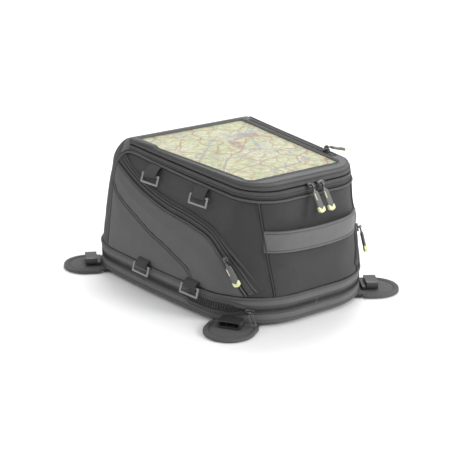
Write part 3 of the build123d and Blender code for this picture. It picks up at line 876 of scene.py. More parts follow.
def piped(name, i, z, width, height, out=0.0, closed=False, replaces=()):
    """A piping along a line on the wall, over a near-black strip of painted shade on each side of it that
    stands for the shadow in its groove.
    """
    half = width / 2 + 0.0013
    flat = [(-half, -0.001), (-half, 0.0), (-half * 0.8, 0.0004), (half * 0.8, 0.0004), (half, 0.0),
            (half, -0.001)]
    # near-black strip under and beside the piping: painted shade of its groove
    put(sweep(name + "_channel", skin(i, z), outward(i, z), flat, closed), SHADE, "bag")
    obj = sweep(name, skin(i, z, out), outward(i, z), round_profile(width, height), closed)
    put(obj, PIPING, "bag", replaces)


def ribbon(name, i, low, high, body, material, profile, count, replaces=()):
    """A strip lying on the wall between two heights at each loop position; profile is its lift across it."""
    t = np.linspace(0, 1, count)
    ii = i[:, None] + np.zeros(count)
    zz = low[:, None] * (1 - t) + high[:, None] * t
    outer = skin(ii, zz, np.interp(t, *zip(*profile)) + np.zeros(ii.shape))
    put(slab(name, outer, skin(ii, zz, np.full(ii.shape, -UNDER))), material, body, replaces)


def patch(name, side, edge_a, edge_b, lift, count):
    """A panel on the side wall between two matching side-view lines, standing out by lift(v, y, z)."""
    v = np.linspace(0, 1, count) + np.zeros((len(edge_a), count))
    y = edge_a[:, None, 0] * (1 - v) + edge_b[:, None, 0] * v
    z = edge_a[:, None, 1] * (1 - v) + edge_b[:, None, 1] * v
    i = find(y, z, side)
    return slab(name, skin(i, z, lift(v, y, z)), skin(i, z, np.full(z.shape, -UNDER)))


# ---- Camera, floor and light ----
TURN, TILT = radians(36.21), radians(19.12)
DISTANCE = 1.8759
LENS = 103.48
AIM = (-0.01184, -0.02067)         # the picture's middle, right of and above the point 0.1 m over the origin

back = Vector((-sin(TURN) * cos(TILT), -cos(TURN) * cos(TILT), sin(TILT)))
right = Vector((cos(TURN), -sin(TURN), 0))
above = Vector((sin(TURN) * sin(TILT), cos(TURN) * sin(TILT), cos(TILT)))
camera_data = bpy.data.cameras.new("camera")
camera_data.lens = LENS
camera_data.sensor_width = 36.0
camera_data.clip_start = 0.05
camera = new_object("camera", camera_data)
camera.matrix_world = Matrix.Translation(
    Vector((0, 0, 0.1)) + AIM[0] * right + AIM[1] * above + DISTANCE * back) @ Matrix(
    (right, above, back)).transposed().to_4x4()
bpy.context.scene.camera = camera
bpy.context.scene.view_settings.view_transform = "Standard"


def floor():
    size = 6.0
    corners = [(-size, -size), (size, -size), (size, size), (-size, size)]
    obj = build("floor", [(x, y, 0) for x, y in corners], [(0, 1, 2, 3)], corners)
    look = Look("floor", 0.9, False)
    look.color(look.tone(grey(0.93), 0.004, look.noise(3.0)))
    obj.data.materials.append(look.material)


def area_light(name, place, aim, size, power):
    data = bpy.data.lights.new(name, "AREA")
    data.shape = "DISK"
    data.size = size
    data.energy = power
    lamp = new_object(name, data)
    lamp.location = place
    lamp.rotation_euler = (Vector(aim) - Vector(place)).to_track_quat("-Z", "Y").to_euler()


floor()
world = bpy.data.worlds.new("world")
world.use_nodes = True
world.node_tree.nodes["Background"].inputs[0].default_value = (1.0, 1.0, 1.0, 1.0)
world.node_tree.nodes["Background"].inputs[1].default_value = 0.85
bpy.context.scene.world = world
area_light("key", (0.9, 1.1, 2.2), (0, 0, 0.1), 1.4, 40)
area_light("fill", (1.0, -2.2, 1.2), (0, 0, 0.1), 1.0, 36)


# ---- Seams and pipings of the walls ----
SIDES = (("left", -1), ("right", 1))
ENDS = ("rear", "front")
TURN_Y = -0.10                     # side-view lines are joined to the line round the rear here


def round_the_bag(z_of_y, side_points):
    """A line down one front corner, along the side, round the rear and back up the other side."""
    i_rear, z_rear = around(z_of_y, TURN_Y)
    line = spline([(TURN_Y, float(z_of_y(TURN_Y)))] + side_points, LINE_STEP)[1:]
    i_side, z_side = on_side(line, 1)
    i = np.concatenate([-i_side[::-1], i_rear, i_side])
    return i, np.concatenate([z_side[::-1], z_rear, z_side])


def piping_z(y):
    return on_line(PIPING_LINE, y)


PIPING_SIDE = [(0.0, float(piping_z(0.0))), (0.05, float(piping_z(0.05))), (0.084, float(piping_z(0.084))),
               (0.101, 0.1835), (0.1115, 0.172), (0.1160, 0.155), (FRONT_EDGE, 0.130), (FRONT_EDGE, 0.085),
               (FRONT_EDGE, 0.043)]
i_line, z_line = round_the_bag(piping_z, PIPING_SIDE)
piped("top_piping", i_line, z_line, 0.0034, 0.0034, 0.0012, replaces=("piping_top",))

i_line = np.arange(0, COUNT, 0.4)
piped("bottom_piping", i_line, np.full(len(i_line), BAG_RISE), 0.0036, 0.0036, 0.0014, closed=True,
      replaces=("piping_bottom",))


def rim_piping():
    """The bound edge round the lid, from hinge to hinge."""
    keep = [k for k in range(-HALF, HALF) if RIM[k % COUNT, 1] < HINGE_Y - 0.0015]
    points, out = RIM[[k % COUNT for k in keep]], RIM_OUT[[k % COUNT for k in keep]]
    fine = even(np.hstack([points, out]), 0.003)
    line, out = fine[:, :3] - 0.0002 * fine[:, 3:], unit(fine[:, 3:])
    obj = sweep("lid_rim", line, out, round_profile(0.0028, 0.0028))
    put(obj, PIPING, "lid")


rim_piping()


def seam_on_rear(name, top_x, low_x, bow):
    """A welted seam down the rear of the bag, from the piping to the base, over a near-black strip of painted
    shade beside the welt.
    """
    z = np.linspace(BAG_RISE + 0.002, float(piping_z(-0.17)) - 0.001, 60)
    t = (z - z[0]) / (z[-1] - z[0])
    x = low_x + (top_x - low_x) * t + bow * np.sin(pi * t)
    ends = np.zeros(len(z)), np.full(len(z), float(STEPS[0] + STEPS[1]))
    i = np.sign(x) * bisect(*ends, lambda at: surface(at, z)[:, 0] < np.abs(x))
    # near-black strip under and beside the welt: painted shade of the seam's groove
    painted_shade = [(-0.0019, -0.001), (-0.0019, 0.0004), (0.0019, 0.0004), (0.0019, -0.001)]
    put(sweep(name + "_channel", drape(i, z), outward(i, z), painted_shade), SHADE, "bag")
    obj = sweep(name, drape(i, z), outward(i, z), round_profile(0.0020, 0.0030, (-0.0006, 0.0004)), sharp=70)
    put(obj, BODY, "bag")
    side = 1 if low_x > 0 else -1
    row = drape(i, z) + 0.0003 * outward(i, z)
    stitches(name + "_stitches", row, outward(i, z), 0.0036 * side, "bag", PALE_THREAD)


def stitches(name, points, normals, across, body, material, pitch=0.0036, length=0.0025, girth=0.00055):
    """A row of stitches beside a line: a short raised bead for each."""
    points, normals = np.asarray(points), np.asarray(normals)
    tangent = unit(np.gradient(points, axis=0))
    side = unit(np.cross(tangent, normals))
    line = points + across * side
    run = run_of(line)
    at = np.arange(pitch, run[-1] - pitch / 2, pitch)
    spot = read_off(line, run, at)
    along, out, wide = (unit(read_off(data, run, at)) for data in (tangent, normals, side))
    ring = [(0, 1), (0.87, -0.3), (-0.87, -0.3)]
    verts, faces = [], []
    for p, a, o, w in zip(spot, along, out, wide):
        base = len(verts)
        for reach, size in ((-0.5, 0.35), (-0.28, 1.0), (0.28, 1.0), (0.5, 0.35)):
            for c, s in ring:
                verts.append(p + a * reach * length + (w * c + o * s) * girth * size)
        for k in range(3):
            for m in range(3):
                n = (m + 1) % 3
                faces.append([base + 3 * k + m, base + 3 * k + n, base + 3 * k + 3 + n, base + 3 * k + 3 + m])
        faces += [[base, base + 2, base + 1], [base + 9, base + 10, base + 11]]
    return put(build(name, verts, faces), material, body)


seam_on_rear("rear_seam_left", -0.079, -0.067, -0.001)
seam_on_rear("rear_seam_right", 0.080, 0.086, 0.001)


# ---- Main zip ----
def main_zip():
    """Two tapes meeting in a fine slit, the coil hidden behind them, with a row of stitches on each;
    near-black strips along the slit are painted shade.
    """
    def line(y):
        return on_line(PARTING, y)
    i, z = around(line, HINGE_Y - 0.003)
    low_tape = ((0.0, 0.0002), (0.06, 0.0009), (0.5, 0.0010), (0.85, 0.0014), (0.95, 0.0013), (1.0, 0.0004))
    high_tape = ((0.0, 0.0004), (0.05, 0.0013), (0.15, 0.0014), (0.5, 0.0010), (0.94, 0.0009), (1.0, 0.0002))
    flat = ((0.0, 0.0002), (1.0, 0.0003))
    # near-black strips on each side of the slit: painted shade in the gap between the tapes
    ribbon("zip_shade_lower", i, z - 0.0014, z - GAP, "bag", SHADE, flat, 3)
    ribbon("zip_shade_upper", i, z + GAP, z + 0.0014, "lid", SHADE, flat, 3)
    ribbon("zip_tape_lower", i, z - 0.0080, z - 0.0009, "bag", ZIP_TAPE, low_tape, 13, ("main_zip_lower",))
    ribbon("zip_tape_upper", i, z + 0.0009, z + 0.0075, "lid", ZIP_TAPE, high_tape, 13, ("main_zip_upper",))
    for name, shift, body in (("zip_stitches_lower", -0.0058, "bag"), ("zip_stitches_upper", 0.0055, "lid")):
        stitches(name, skin(i, z + shift, np.full(len(i), 0.0012)), outward(i, z + shift), 0.0, body, THREAD)


main_zip()


# ---- Base ----
FOOT_Z, FOOT_OUT_Z = 0.030, 0.020  # the base's plan is taken at one height, its outward directions at another


def foot_line(i):
    """The base's plan at loop positions i, and the level directions out from it."""
    return surface(i, np.full(len(i), FOOT_Z)), unit(outward(i, np.full(len(i), FOOT_OUT_Z)) * (1, 1, 0))


def belt(name, profile):
    """A closed (out, height) profile carried round the base."""
    profile = np.asarray(profile, float)
    foot, flat = foot_line(np.arange(0.0, COUNT, 0.5))
    points = foot[:, None] + profile[:, :1] * flat[:, None]
    points[..., 2] = profile[:, 1]
    return tube(name, points, True)


ZIP_Z = 0.024
SLOT = 0.0007                      # half the slit between the tapes
OPEN_SLOT = 0.0062                 # half the opening where the zip is undone
SLIDER_AT = JOINT_OF["base_pull"]["pos_m"]


def base_slider_i():
    """Loop position of the base slider."""
    i = np.arange(-STEPS[0] - STEPS[1], 0, 0.1)
    return float(i[np.argmin(np.hypot(*(foot_line(i)[0] - np.array(SLIDER_AT))[:, :2].T))])


SLIDER_I = base_slider_i()
OPEN_END = float(find(-0.065, FOOT_Z, -1))     # where the undone stretch ends, on the left side


def slot_half(i):
    """Half the width of the base zip's opening at loop positions i (from -COUNT to 0)."""
    near = smoothstep(-(i - SLIDER_I), 0.0, 5.5)
    far = smoothstep(i - OPEN_END, 0.0, 6.0)
    return SLOT + (OPEN_SLOT - SLOT) * near * far


BACK = -0.0030                     # the base bands' inner side


def base_bands():
    """Bands and tapes each side of the base zip's slit, which widens where the zip is undone."""
    i = np.arange(-COUNT, 0, 0.5)
    half = slot_half(i)
    foot, flat = foot_line(i)

    def rings(profile_of):
        """Rings whose (out, height) profile depends on the half opening."""
        made = np.array([[p + o * n for o, _ in profile_of(h)] for p, n, h in zip(foot, flat, half)])
        made[..., 2] = np.array([[z for _, z in profile_of(h)] for h in half])
        return made

    def lower(h):
        edge = ZIP_Z - h
        return [(BACK, 0.0085), (0.0006, 0.0085), (0.0018, 0.0125), (0.0017, edge - 0.0075),
                (0.0008, edge - 0.0058), (BACK, edge - 0.0052)]

    def upper(h):
        edge = ZIP_Z + h
        return [(BACK, edge + 0.0052), (0.0008, edge + 0.0058), (0.0017, edge + 0.0074),
                (0.0013, 0.0372), (0.0004, 0.0388), (BACK, 0.0388)]

    def lower_tape(h):
        edge = ZIP_Z - h
        return [(BACK, edge - 0.0060), (0.0004, edge - 0.0060), (0.0008, edge - 0.0015),
                (0.0012, edge - 0.0004), (0.0009, edge), (BACK, edge)]

    def upper_tape(h):
        return [(o, 2 * ZIP_Z - z) for o, z in lower_tape(h)[::-1]]

    for name, profile_of, material, body, slot, node in (
            ("base_band_low", lower, BAND, "base", "band_fabric", "base_band_lower"),
            ("base_band_high", upper, BAND, "bag", "band_fabric", "base_band_upper"),
            ("base_tape_low", lower_tape, ZIP_TAPE, "base", "zip_tape", "base_zip_lower"),
            ("base_tape_high", upper_tape, ZIP_TAPE, "bag", "zip_tape", "base_zip_upper")):
        put(tube(name, rings(profile_of), True), material, body, (node,))
    binding = round_profile(0.0042, 0.0050, (0.0004, 0.0078), 12, 2.6)
    put(belt("base_binding", binding), PIPING, "base")


base_bands()


TOOTH = (0.0017, 0.0016)           # a closed tooth's width and depth
RIB = (0.0021, 0.0016)             # the same for a rib of the undone stretch
TOOTH_PITCH, RIB_PITCH = 0.0026, 0.0040
RIB_LEAN = 0.0022
TOOTH_FACES = ((0, 1, 3, 2), (4, 6, 7, 5), (0, 4, 5, 1), (2, 3, 7, 6), (0, 2, 6, 4), (1, 5, 7, 3))


def base_teeth():
    """The base zip: fine closed teeth, and coarse slanted ribs where the opening shows the gusset behind."""
    rows = {"base": ([], []), "bag": ([], [])}
    i = np.arange(-COUNT, 0, 0.05)
    foot, flat = foot_line(i)
    run = run_of(foot)

    def tooth(body, at, size, low, high, out, lean=0.0):
        k = min(int(np.searchsorted(run, at)), len(i) - 2)
        along = unit(foot[k + 1] - foot[k])
        verts, faces = rows[body]
        faces += [[len(verts) + c for c in corners] for corners in TOOTH_FACES]
        width, depth = size
        for z, shift in ((low, -lean / 2), (high, lean / 2)):
            for a in (-width / 2, width / 2):
                for o, shrink in ((out - depth, 1.0), (out, 0.72)):
                    spot = foot[k] + along * (a * shrink + shift) + flat[k] * o
                    verts.append((spot[0], spot[1], z))

    at = 0.002
    while at < run[-1] - 0.002:
        h = float(slot_half(np.interp(at, run, i)))
        if h < 0.0016:
            tooth("base", at, TOOTH, ZIP_Z - 0.0021 - h, ZIP_Z - 0.0002, 0.0017)
            tooth("bag", at + TOOTH_PITCH / 2, TOOTH, ZIP_Z + 0.0002, ZIP_Z + 0.0021 + h, 0.0017)
            at += TOOTH_PITCH
        else:
            tooth("base", at, RIB, ZIP_Z - h - 0.0006, ZIP_Z - 0.0004, 0.0002, RIB_LEAN)
            tooth("bag", at + 0.0016, RIB, ZIP_Z + 0.0004, ZIP_Z + h + 0.0006, 0.0004, RIB_LEAN)
            at += RIB_PITCH
    gusset = [(-0.0028, 0.0165), (-0.0012, 0.0165), (-0.0012, 0.0237), (-0.0028, 0.0237)]
    sides = (("base", "low"), ("bag", "high"))
    for body, end in sides:
        put(build("base_teeth_" + end, *rows[body]), ZIP_COIL, body)
    for body, end in sides:
        put(belt("gusset_" + end, gusset), ZIP_TAPE, body)
        gusset = [(o, 2 * ZIP_Z - z) for o, z in gusset]


base_teeth()


# ---- Side pockets ----
POCKET_LINE = ((0.112, 0.168), (0.060, 0.144), (0.0, 0.1275), (-0.060, 0.119), (-0.105, 0.107),
               (-0.140, 0.077), (-0.162, 0.0435))
SEAM_LINE = ((0.1175, 0.1435), (0.106, 0.129), (0.089, 0.118), (0.070, 0.110), (0.045, 0.100),
             (0.020, 0.090), (-0.005, 0.083), (-0.028, 0.076), (-0.051, 0.068), (-0.065, 0.063),
             (-0.077, 0.055), (-0.085, 0.0425))
PANEL_LOW = 0.0425
pocket_line = spline(POCKET_LINE, 0.002)
seam_line = spline(SEAM_LINE, 0.002)


PANEL_LIFT = 0.0021                # a soft panel's height at its rolled edge
ROLL, PUFF = 0.0035, 0.0012        # width of the rolled edge, and the padding's rise beyond it
EASE = 0.0001                      # least lift of a piece sewn on


def padded_lift(edge_a, edge_b):
    """Lift that rises from the seams to a padded height, by the distance to the panel's four edges."""
    border = closed_even(np.vstack([edge_a, edge_b[::-1]]), 0.002)

    def lift(_, y, z):
        flat = np.stack([y, z], axis=-1).reshape(-1, 1, 2)
        gap = np.concatenate([np.sqrt(((flat[k:k + 400] - border) ** 2).sum(-1)).min(1)
                              for k in range(0, len(flat), 400)]).reshape(y.shape)
        shoulder = np.sqrt(np.clip(1 - (1 - np.clip(gap / ROLL, 0, 1)) ** 2, 0, 1))
        return EASE + (PANEL_LIFT - EASE) * shoulder + PUFF * smoothstep(gap, 0.0, 0.030)
    return lift


def by_profile(profile):
    """Lift read across the piece from (share, lift) pairs."""
    return lambda v, y, z: np.interp(v, *zip(*profile))


def beside(distance, line=pocket_line):
    """A pocket's line moved up and forward, away from its panel."""
    return offset(line, -distance)


# lift of the near-black patches of painted shade under the pocket's edge and along the panel seam
SHADE_PATCH_LIFT = ((0, 0.0003), (1, 0.0003))
# name, lower and upper edge from the pocket's line, lift across, material, slot, node it stands for
POCKET_BANDS = (
    ("pocket_tape_low", 0.0034, 0.0090,
     ((0, 0.0004), (0.1, 0.0010), (0.75, 0.0012), (0.93, 0.0020), (1, 0.0008)), ZIP_TAPE, "zip_tape",
     "pocket_zip"),
    ("pocket_tape_high", 0.0102, 0.0130,
     ((0, 0.0008), (0.12, 0.0020), (0.4, 0.0013), (1, 0.0010)), ZIP_TAPE, "zip_tape", None),
    ("pocket_fold", 0.0142, 0.0182,
     ((0, 0.0004), (0.15, 0.0021), (0.45, 0.0027), (0.8, 0.0016), (1, -0.0004)), BODY, "black_fabric",
     "pocket_flap"))


def soft_panel(name, side, edge_a, edge_b, count, replaces=()):
    obj = patch(name, side, edge_a, edge_b, padded_lift(edge_a, edge_b), count)
    put(obj, SOFT, "bag", replaces)


def side_stitches(name, line, side, height, thread_look):
    i, z = on_side(line, side)
    stitches(name, skin(i, z, np.full(len(i), height)), outward(i, z), 0.0, "bag", thread_look)


def pockets():
    """Soft panels above and below the slanting seam, painted shade along the pocket's edge and the seam, then
    piping, zip and fold from the panel outwards.
    """
    foot = [(-0.100, PANEL_LOW), (-0.130, PANEL_LOW), (-0.1625, PANEL_LOW)]
    upper_edges = resample(beside(-0.0012), 170), resample(np.vstack([seam_line, foot]), 170)
    lower_edges = resample(seam_line, 130), np.c_[np.linspace(0.1165, -0.0855, 130), np.full(130, PANEL_LOW)]
    upper_edges[1][:, 1] += 0.0006
    lower_edges[0][:, 1] -= 0.0006
    for side_name, side in SIDES:
        soft_panel(f"soft_panel_upper_{side_name}", side, *upper_edges, 40, (f"pocket_panel_{side_name}",))
        soft_panel(f"soft_panel_lower_{side_name}", side, *lower_edges, 36)
        # near-black patches as painted shade: behind the pocket's piping, zip and fold, and in the seam
        # between the soft panels
        for name, line, low, high in (("pocket_shade", pocket_line, -0.0016, 0.0150),
                                      ("panel_shade", seam_line, -0.0014, 0.0014)):
            edges = beside(low, line), beside(high, line)
            put(patch(f"{name}_{side_name}", side, *edges, by_profile(SHADE_PATCH_LIFT), 7), SHADE, "bag")
        piped(f"pocket_piping_{side_name}", *on_side(beside(0.0010), side), 0.0026, 0.0028, 0.0014)
        for name, low, high, profile, material, slot, node in POCKET_BANDS:
            obj = patch(f"{name}_{side_name}", side, beside(low), beside(high), by_profile(profile), 11)
            put(obj, material, "bag", (f"{node}_{side_name}",) if node else ())
        side_stitches(f"pocket_tape_stitches_{side_name}", beside(0.0055), side, 0.0013, THREAD)
        side_stitches(f"pocket_fold_stitches_{side_name}", beside(0.0168), side, 0.0022, PALE_THREAD)
        side_stitches(f"panel_stitches_{side_name}", offset(seam_line, 0.0035), side, 0.0028, THREAD)


pockets()


# ---- Lid: window, map and zip ----
def flat_plate(name, line, high, low):
    """A thin sheet with the given plan, on the lid's flat top."""
    count = len(line)
    verts = np.vstack([with_top(line, high), with_top(line, low)])
    faces = [list(range(count)), list(range(2 * count - 1, count - 1, -1))]
    faces += [[k, k + count, (k + 1) % count + count, (k + 1) % count] for k in range(count)]
    uvs = [tuple(verts[v, :2]) for face in faces for v in face]
    return build(name, verts, faces, uvs)


def map_outline():
    """The window's outline cut straight across behind, short of its rounded corners."""
    line = closed_even(window_outline(-0.0004), 0.0012)
    line[:, 1] = np.maximum(line[:, 1], WINDOW[0][2] + MAP_GAP)
    keep = np.linalg.norm(line - np.roll(line, 1, axis=0), axis=1) > 1e-5
    return line[keep]


backing = flat_plate("window_backing", window_outline(0.0), -RECESS + 0.0006, -RECESS + 0.0001)
put(backing, NAVY, "lid")
line = map_outline()
sheet = flat_plate("road_map", line, -RECESS + 0.0011, -RECESS + 0.0008)
put(sheet, MAP, "lid", ("map_sheet",))
line = window_outline(-0.0004)
pane = flat_plate("window_film", line, -0.0006, -0.0010)
put(pane, FILM, "lid", ("map_window",))


LID_UP = unit(np.array([0, REAR_TOP[1] - CREST[1], CREST[0] - REAR_TOP[0]]))


def window_binding():
    line = closed_even(window_outline(0.0012), 0.003)
    points = with_top(line)
    normals = np.tile(LID_UP, (len(line), 1))
    profile = [(-0.0015, -0.0012), (-0.0015, 0.0003), (-0.0010, 0.0009), (0.0, 0.0012), (0.0010, 0.0009),
               (0.0015, 0.0003), (0.0015, -0.0012)]
    obj = sweep("window_binding", points, normals, profile, True, 60)
    put(obj, BAND, "lid", ("window_binding",))
    stitches("binding_stitches", points + 0.0014 * normals, normals, 0.0, "lid", THREAD)


window_binding()

MAP_ZIP = ((0.085, -0.122), (0.1005, 0.090))


TOOTH_STEP = 0.002
BOX_FACES = ((0, 3, 2, 1), (4, 5, 6, 7), (0, 1, 5, 4), (1, 2, 6, 5), (2, 3, 7, 6), (3, 0, 4, 7))


def map_zip():
    """Two tapes beside the window, with stitches, and teeth from each side in turn."""
    a, b = np.array(MAP_ZIP)
    points = with_top(a + (b - a) * np.linspace(0, 1, 60)[:, None])
    normals = np.tile(LID_UP, (len(points), 1))
    for name, sign, node in (("map_zip_left", -1, ("map_zip",)), ("map_zip_right", 1, ())):
        across = np.array([0.0004, 0.0007, 0.0018, 0.0030, 0.0044, 0.0046, 0.0004]) * sign
        height = np.array([0.0006, 0.0014, 0.0016, 0.0009, 0.0008, -0.0006, -0.0006])
        put(sweep(name, points, normals, np.c_[across, height], sharp=60), ZIP_TAPE, "lid", node)
    for name, across in (("map_zip_stitches", 0.0036), ("map_zip_stitches_b", -0.0036)):
        stitches(name, points + 0.0009 * normals, normals, across, "lid", THREAD)
    verts, faces = [], []
    run = np.linalg.norm(b - a)
    along = (b - a) / run
    side = np.array([along[1], -along[0]])
    for k in range(int(run / TOOTH_STEP)):
        spot = a + along * (0.001 + TOOTH_STEP * k)
        sign = 1 if k % 2 else -1
        faces += [[len(verts) + c for c in corners] for corners in BOX_FACES]
        for h in (0.0004, 0.0015):
            for p, q in ((-0.0006, -0.0002), (0.0006, -0.0002), (0.0006, 0.0012), (-0.0006, 0.0012)):
                verts.append(with_top((spot + along * p + side * q * sign)[None], h)[0])
    put(build("map_zip_teeth", verts, faces), ZIP_COIL, "lid")


map_zip()


def crest_section(y):
    """The bag's outside across the lid at one y, from the main zip on the left over the top to the right."""
    halves = []
    for side in (-1, 1):
        columns = [k % COUNT for k in range(STEPS[0], HALF - STEPS[4])]
        columns = [(-k) % COUNT if side < 0 else k for k in columns]
        half = []
        for row in ROWS[:WALLS + 12]:
            ys = row[columns, 1]
            if row[columns, 2].max() < PARTING[1][1] - 0.02 or ys.max() < y + 0.0005:
                continue
            half.append([np.interp(y, ys, row[columns, k]) for k in (0, 2)])
        halves.append(np.array(half))
    left, right = halves
    return even(np.vstack([left, right[::-1]]), 0.003)


def hinge_strip():
    """The lid's fabric carries on over the fold at the crest."""
    ys = np.linspace(0.0985, 0.1130, 9)
    sections = [crest_section(y) for y in ys]
    count = min(len(s) for s in sections)
    grid = []
    for y, section in zip(ys, sections):
        run = run_of(section)
        at = np.linspace(0.012, run[-1] - 0.012, count)
        x, z = (np.interp(at, run, section[:, k]) for k in (0, 1))
        out = unit(np.c_[-np.gradient(z), np.gradient(x)])
        grid.append(np.stack([x, np.full(count, y), z, out[:, 0], out[:, 1]], axis=1))
    grid = np.array(grid)
    outer, inner = grid[..., :3].copy(), grid[..., :3].copy()
    lift = 0.0002 + 0.0011 * np.sin(np.linspace(0, pi, len(ys))) ** 0.5
    outer[..., 0] += grid[..., 3] * lift[:, None]
    outer[..., 2] += grid[..., 4] * lift[:, None]
    inner[..., 0] -= grid[..., 3] * 0.0006
    inner[..., 2] -= grid[..., 4] * 0.0006
    obj = slab("hinge_strip", outer, inner)
    obj.data.materials.append(BAND)
    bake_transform(obj)


hinge_strip()


# ---- Carry handle ----
HANDLE_Z = 0.118


def carry_handle():
    """A strap that leaves the wall at the two corner seams and bows out between them."""
    xs = np.array([-0.0765, -0.071, -0.060, -0.046, -0.024, 0.0, 0.024, 0.046, 0.062, 0.076, 0.0835])
    bow = np.array([1.2, 3.0, 6.0, 8.8, 12.5, 14.0, 12.5, 8.8, 6.0, 3.0, 1.2]) * MM
    i = np.linspace(-STEPS[0] - STEPS[1], STEPS[0] + STEPS[1], 400)
    line = surface(i, HANDLE_Z)
    at = np.interp(xs, line[:, 0], i)
    flat = unit(outward(at, HANDLE_Z) * (1, 1, 0))
    points = spline(surface(at, HANDLE_Z) + flat * bow[:, None], 0.0022)
    step = unit(np.gradient(points, axis=0))
    normals = np.c_[step[:, 1], -step[:, 0], 0 * step[:, 0]]
    half, thick = 0.015, 0.00175
    right = [(0.5, 0.70), (0.79, 0.62), (0.86, 1.0), (0.94, 0.95), (0.985, 0.55), (1.0, -0.6)]
    face = [(-x, y) for x, y in right[::-1]] + [(0.0, 0.86)] + right + [(0.94, -1.0), (-0.94, -1.0)]
    obj = sweep("carry_handle", points, normals, [(a * half, o * thick) for a, o in face], sharp=50)
    put(obj, LEATHER, "bag", ("carry_handle",))
    for name, across in (("handle_stitches_low", half - 0.0032), ("handle_stitches_high", 0.0032 - half)):
        stitches(name, points + normals * 0.00115, normals, across, "bag", THREAD, 0.0042, 0.0030, 0.0007)


carry_handle()


# ---- Ring loops ----
LOOP_WIDE = 0.025
LOOP_T = 0.0012
ROD = 0.00175


def ring_loops():
    """Webbing from a seam on the wall round each ring's rod and back to the wall."""
    across = np.linspace(-LOOP_WIDE / 2, LOOP_WIDE / 2, 9)
    r = ROD + 0.0004 + LOOP_T / 2
    for side_name, side in SIDES:
        for level in ("upper", "lower"):
            for end_name in ENDS:
                joint = JOINT_OF[f"ring_{level}_{end_name}_{side_name}"]
                pivot, axis = np.array(joint["pos_m"]), unit(np.array(joint["axis"]))
                i = float(find(pivot[1], pivot[2], side))
                out = unit(outward(i, pivot[2]) * (1, 1, 0))
                if level == "upper":
                    roots = float(piping_z(pivot[1])) - 0.0006, float(piping_z(pivot[1])) - 0.0062
                else:
                    roots = BAG_RISE + 0.0100, BAG_RISE + 0.0046
                (oa, za), (ob, zb) = [((skin(i, z, lift) - pivot) @ out, z - pivot[2])
                                      for z, lift in zip(roots, (0.0009, 0.0004))]
                path = spline([(oa, za), (oa * 0.45, za * 0.62 + 0.0022), (r * 0.35, r * 1.02), (r, 0.0),
                               (r * 0.6, -r * 0.85), (-r * 0.25, -r * 1.0), (-r, -0.0002),
                               (ob * 0.55, zb * 0.5), (ob, zb)], 0.0007)
                step = unit(np.gradient(path, axis=0))
                grids = []
                for sign in (1, -1):
                    flat = path + sign * np.c_[-step[:, 1], step[:, 0]] * LOOP_T / 2
                    grids.append(pivot + across[None, :, None] * axis + flat[:, None, :1] * out
                                 + flat[:, None, 1:] * np.array(UP))
                obj = slab(f"webbing_{level}_{end_name}_{side_name}", *grids)
                first = level == "upper" and end_name == "rear"
                put(obj, WEBBING, "bag", (f"ring_loops_{side_name}",) if first else ())


ring_loops()


# ---- Sliders and pulls ----
def frame_at(pivot, x_dir, y_near):
    """A local frame: x along x_dir, y as near y_near as it can be, z square to both."""
    x = Vector(x_dir).normalized()
    z = x.cross(Vector(y_near)).normalized()
    y = z.cross(x)
    return Matrix.Translation(Vector(pivot)) @ Matrix((x, y, z)).transposed().to_4x4()


def turned(degrees, axis):
    return Matrix.Rotation(radians(degrees), 4, axis)


def prism(name, outline, low, high, bevel=0.0):
    """A plate with the given plan between two heights, in millimetres, its rims rounded."""
    outline, low, high = np.asarray(outline, float) * MM, low * MM, high * MM
    count = len(outline)
    verts = [(x, y, low) for x, y in outline] + [(x, y, high) for x, y in outline]
    faces = [list(range(count))[::-1], list(range(count, 2 * count))]
    faces += [[k, (k + 1) % count, (k + 1) % count + count, k + count] for k in range(count)]
    obj = build(name, verts, faces)
    if bevel:
        rim = obj.modifiers.new("rim", "BEVEL")
        rim.width = bevel
        rim.segments = 2
        rim.limit_method = "ANGLE"
        rim.angle_limit = radians(50)
        apply_modifiers(obj)
    return obj


def rod(name, path, thick, normal):
    """A rod along a path of points in millimetres."""
    fine = spline(np.asarray(path, float) * MM, 0.0006)
    profile = round_profile(thick, thick, count=10, power=2.4)
    return sweep(name, fine, np.tile(normal, (len(fine), 1)), profile)


def moved(obj, matrix):
    obj.data.transform(matrix)
    obj.data.update()
    return obj


BAIL_Z = 0.0076
SHIELD = ((-6.0, -1.6), (-5.4, -2.6), (-2.6, -3.0), (0.5, -4.0), (4.6, -3.9), (5.7, -2.9), (6.0, -1.4),
          (6.0, 1.4), (5.7, 2.9), (4.6, 3.9), (0.5, 4.0), (-2.6, 3.0), (-5.4, 2.6), (-6.0, 1.6))


def slider_piece(name, place, run_on_x, body, flip=False):
    """A zip slider: two shield plates and the arch that the pull hangs from, its rod along the frame's x."""
    shape = np.array(SHIELD) * (-1 if flip else 1, 0.97)
    parts = [prism("plate", shape, low, high, 0.0003) for low, high in ((1.2, 2.2), (3.2, 4.4))]
    parts.append(prism("core", shape * (0.55, 0.42), 1.9, 3.5))
    if not run_on_x:
        for obj in parts:
            moved(obj, turned(90, "Z"))
    reach = 4.8 if run_on_x else 3.2
    path = [(-reach, 4.1), (-reach, 5.8), (-reach + 0.7, 7.2), (-reach + 1.9, 7.6), (reach - 1.9, 7.6),
            (reach - 0.7, 7.2), (reach, 5.8), (reach, 4.1)]
    parts.append(rod("arch", [(x, 0, z) for x, z in path], 0.0017, (0, 1, 0)))
    obj = moved(joined(name, parts), place @ Matrix.Translation((0, 0, -BAIL_Z)))
    put(obj, SLIDER_METAL, body, (body,))


def eye():
    """The pull's eye: a rounded ring about the x axis."""
    angles = np.linspace(0, 2 * pi, 20, endpoint=False)
    centre = np.array([(0, 0.00187 * cos(a), 0.00187 * sin(a)) for a in angles])
    normals = unit(centre)
    return sweep("eye", centre, normals, round_profile(0.0034, 0.00098, count=10), True)


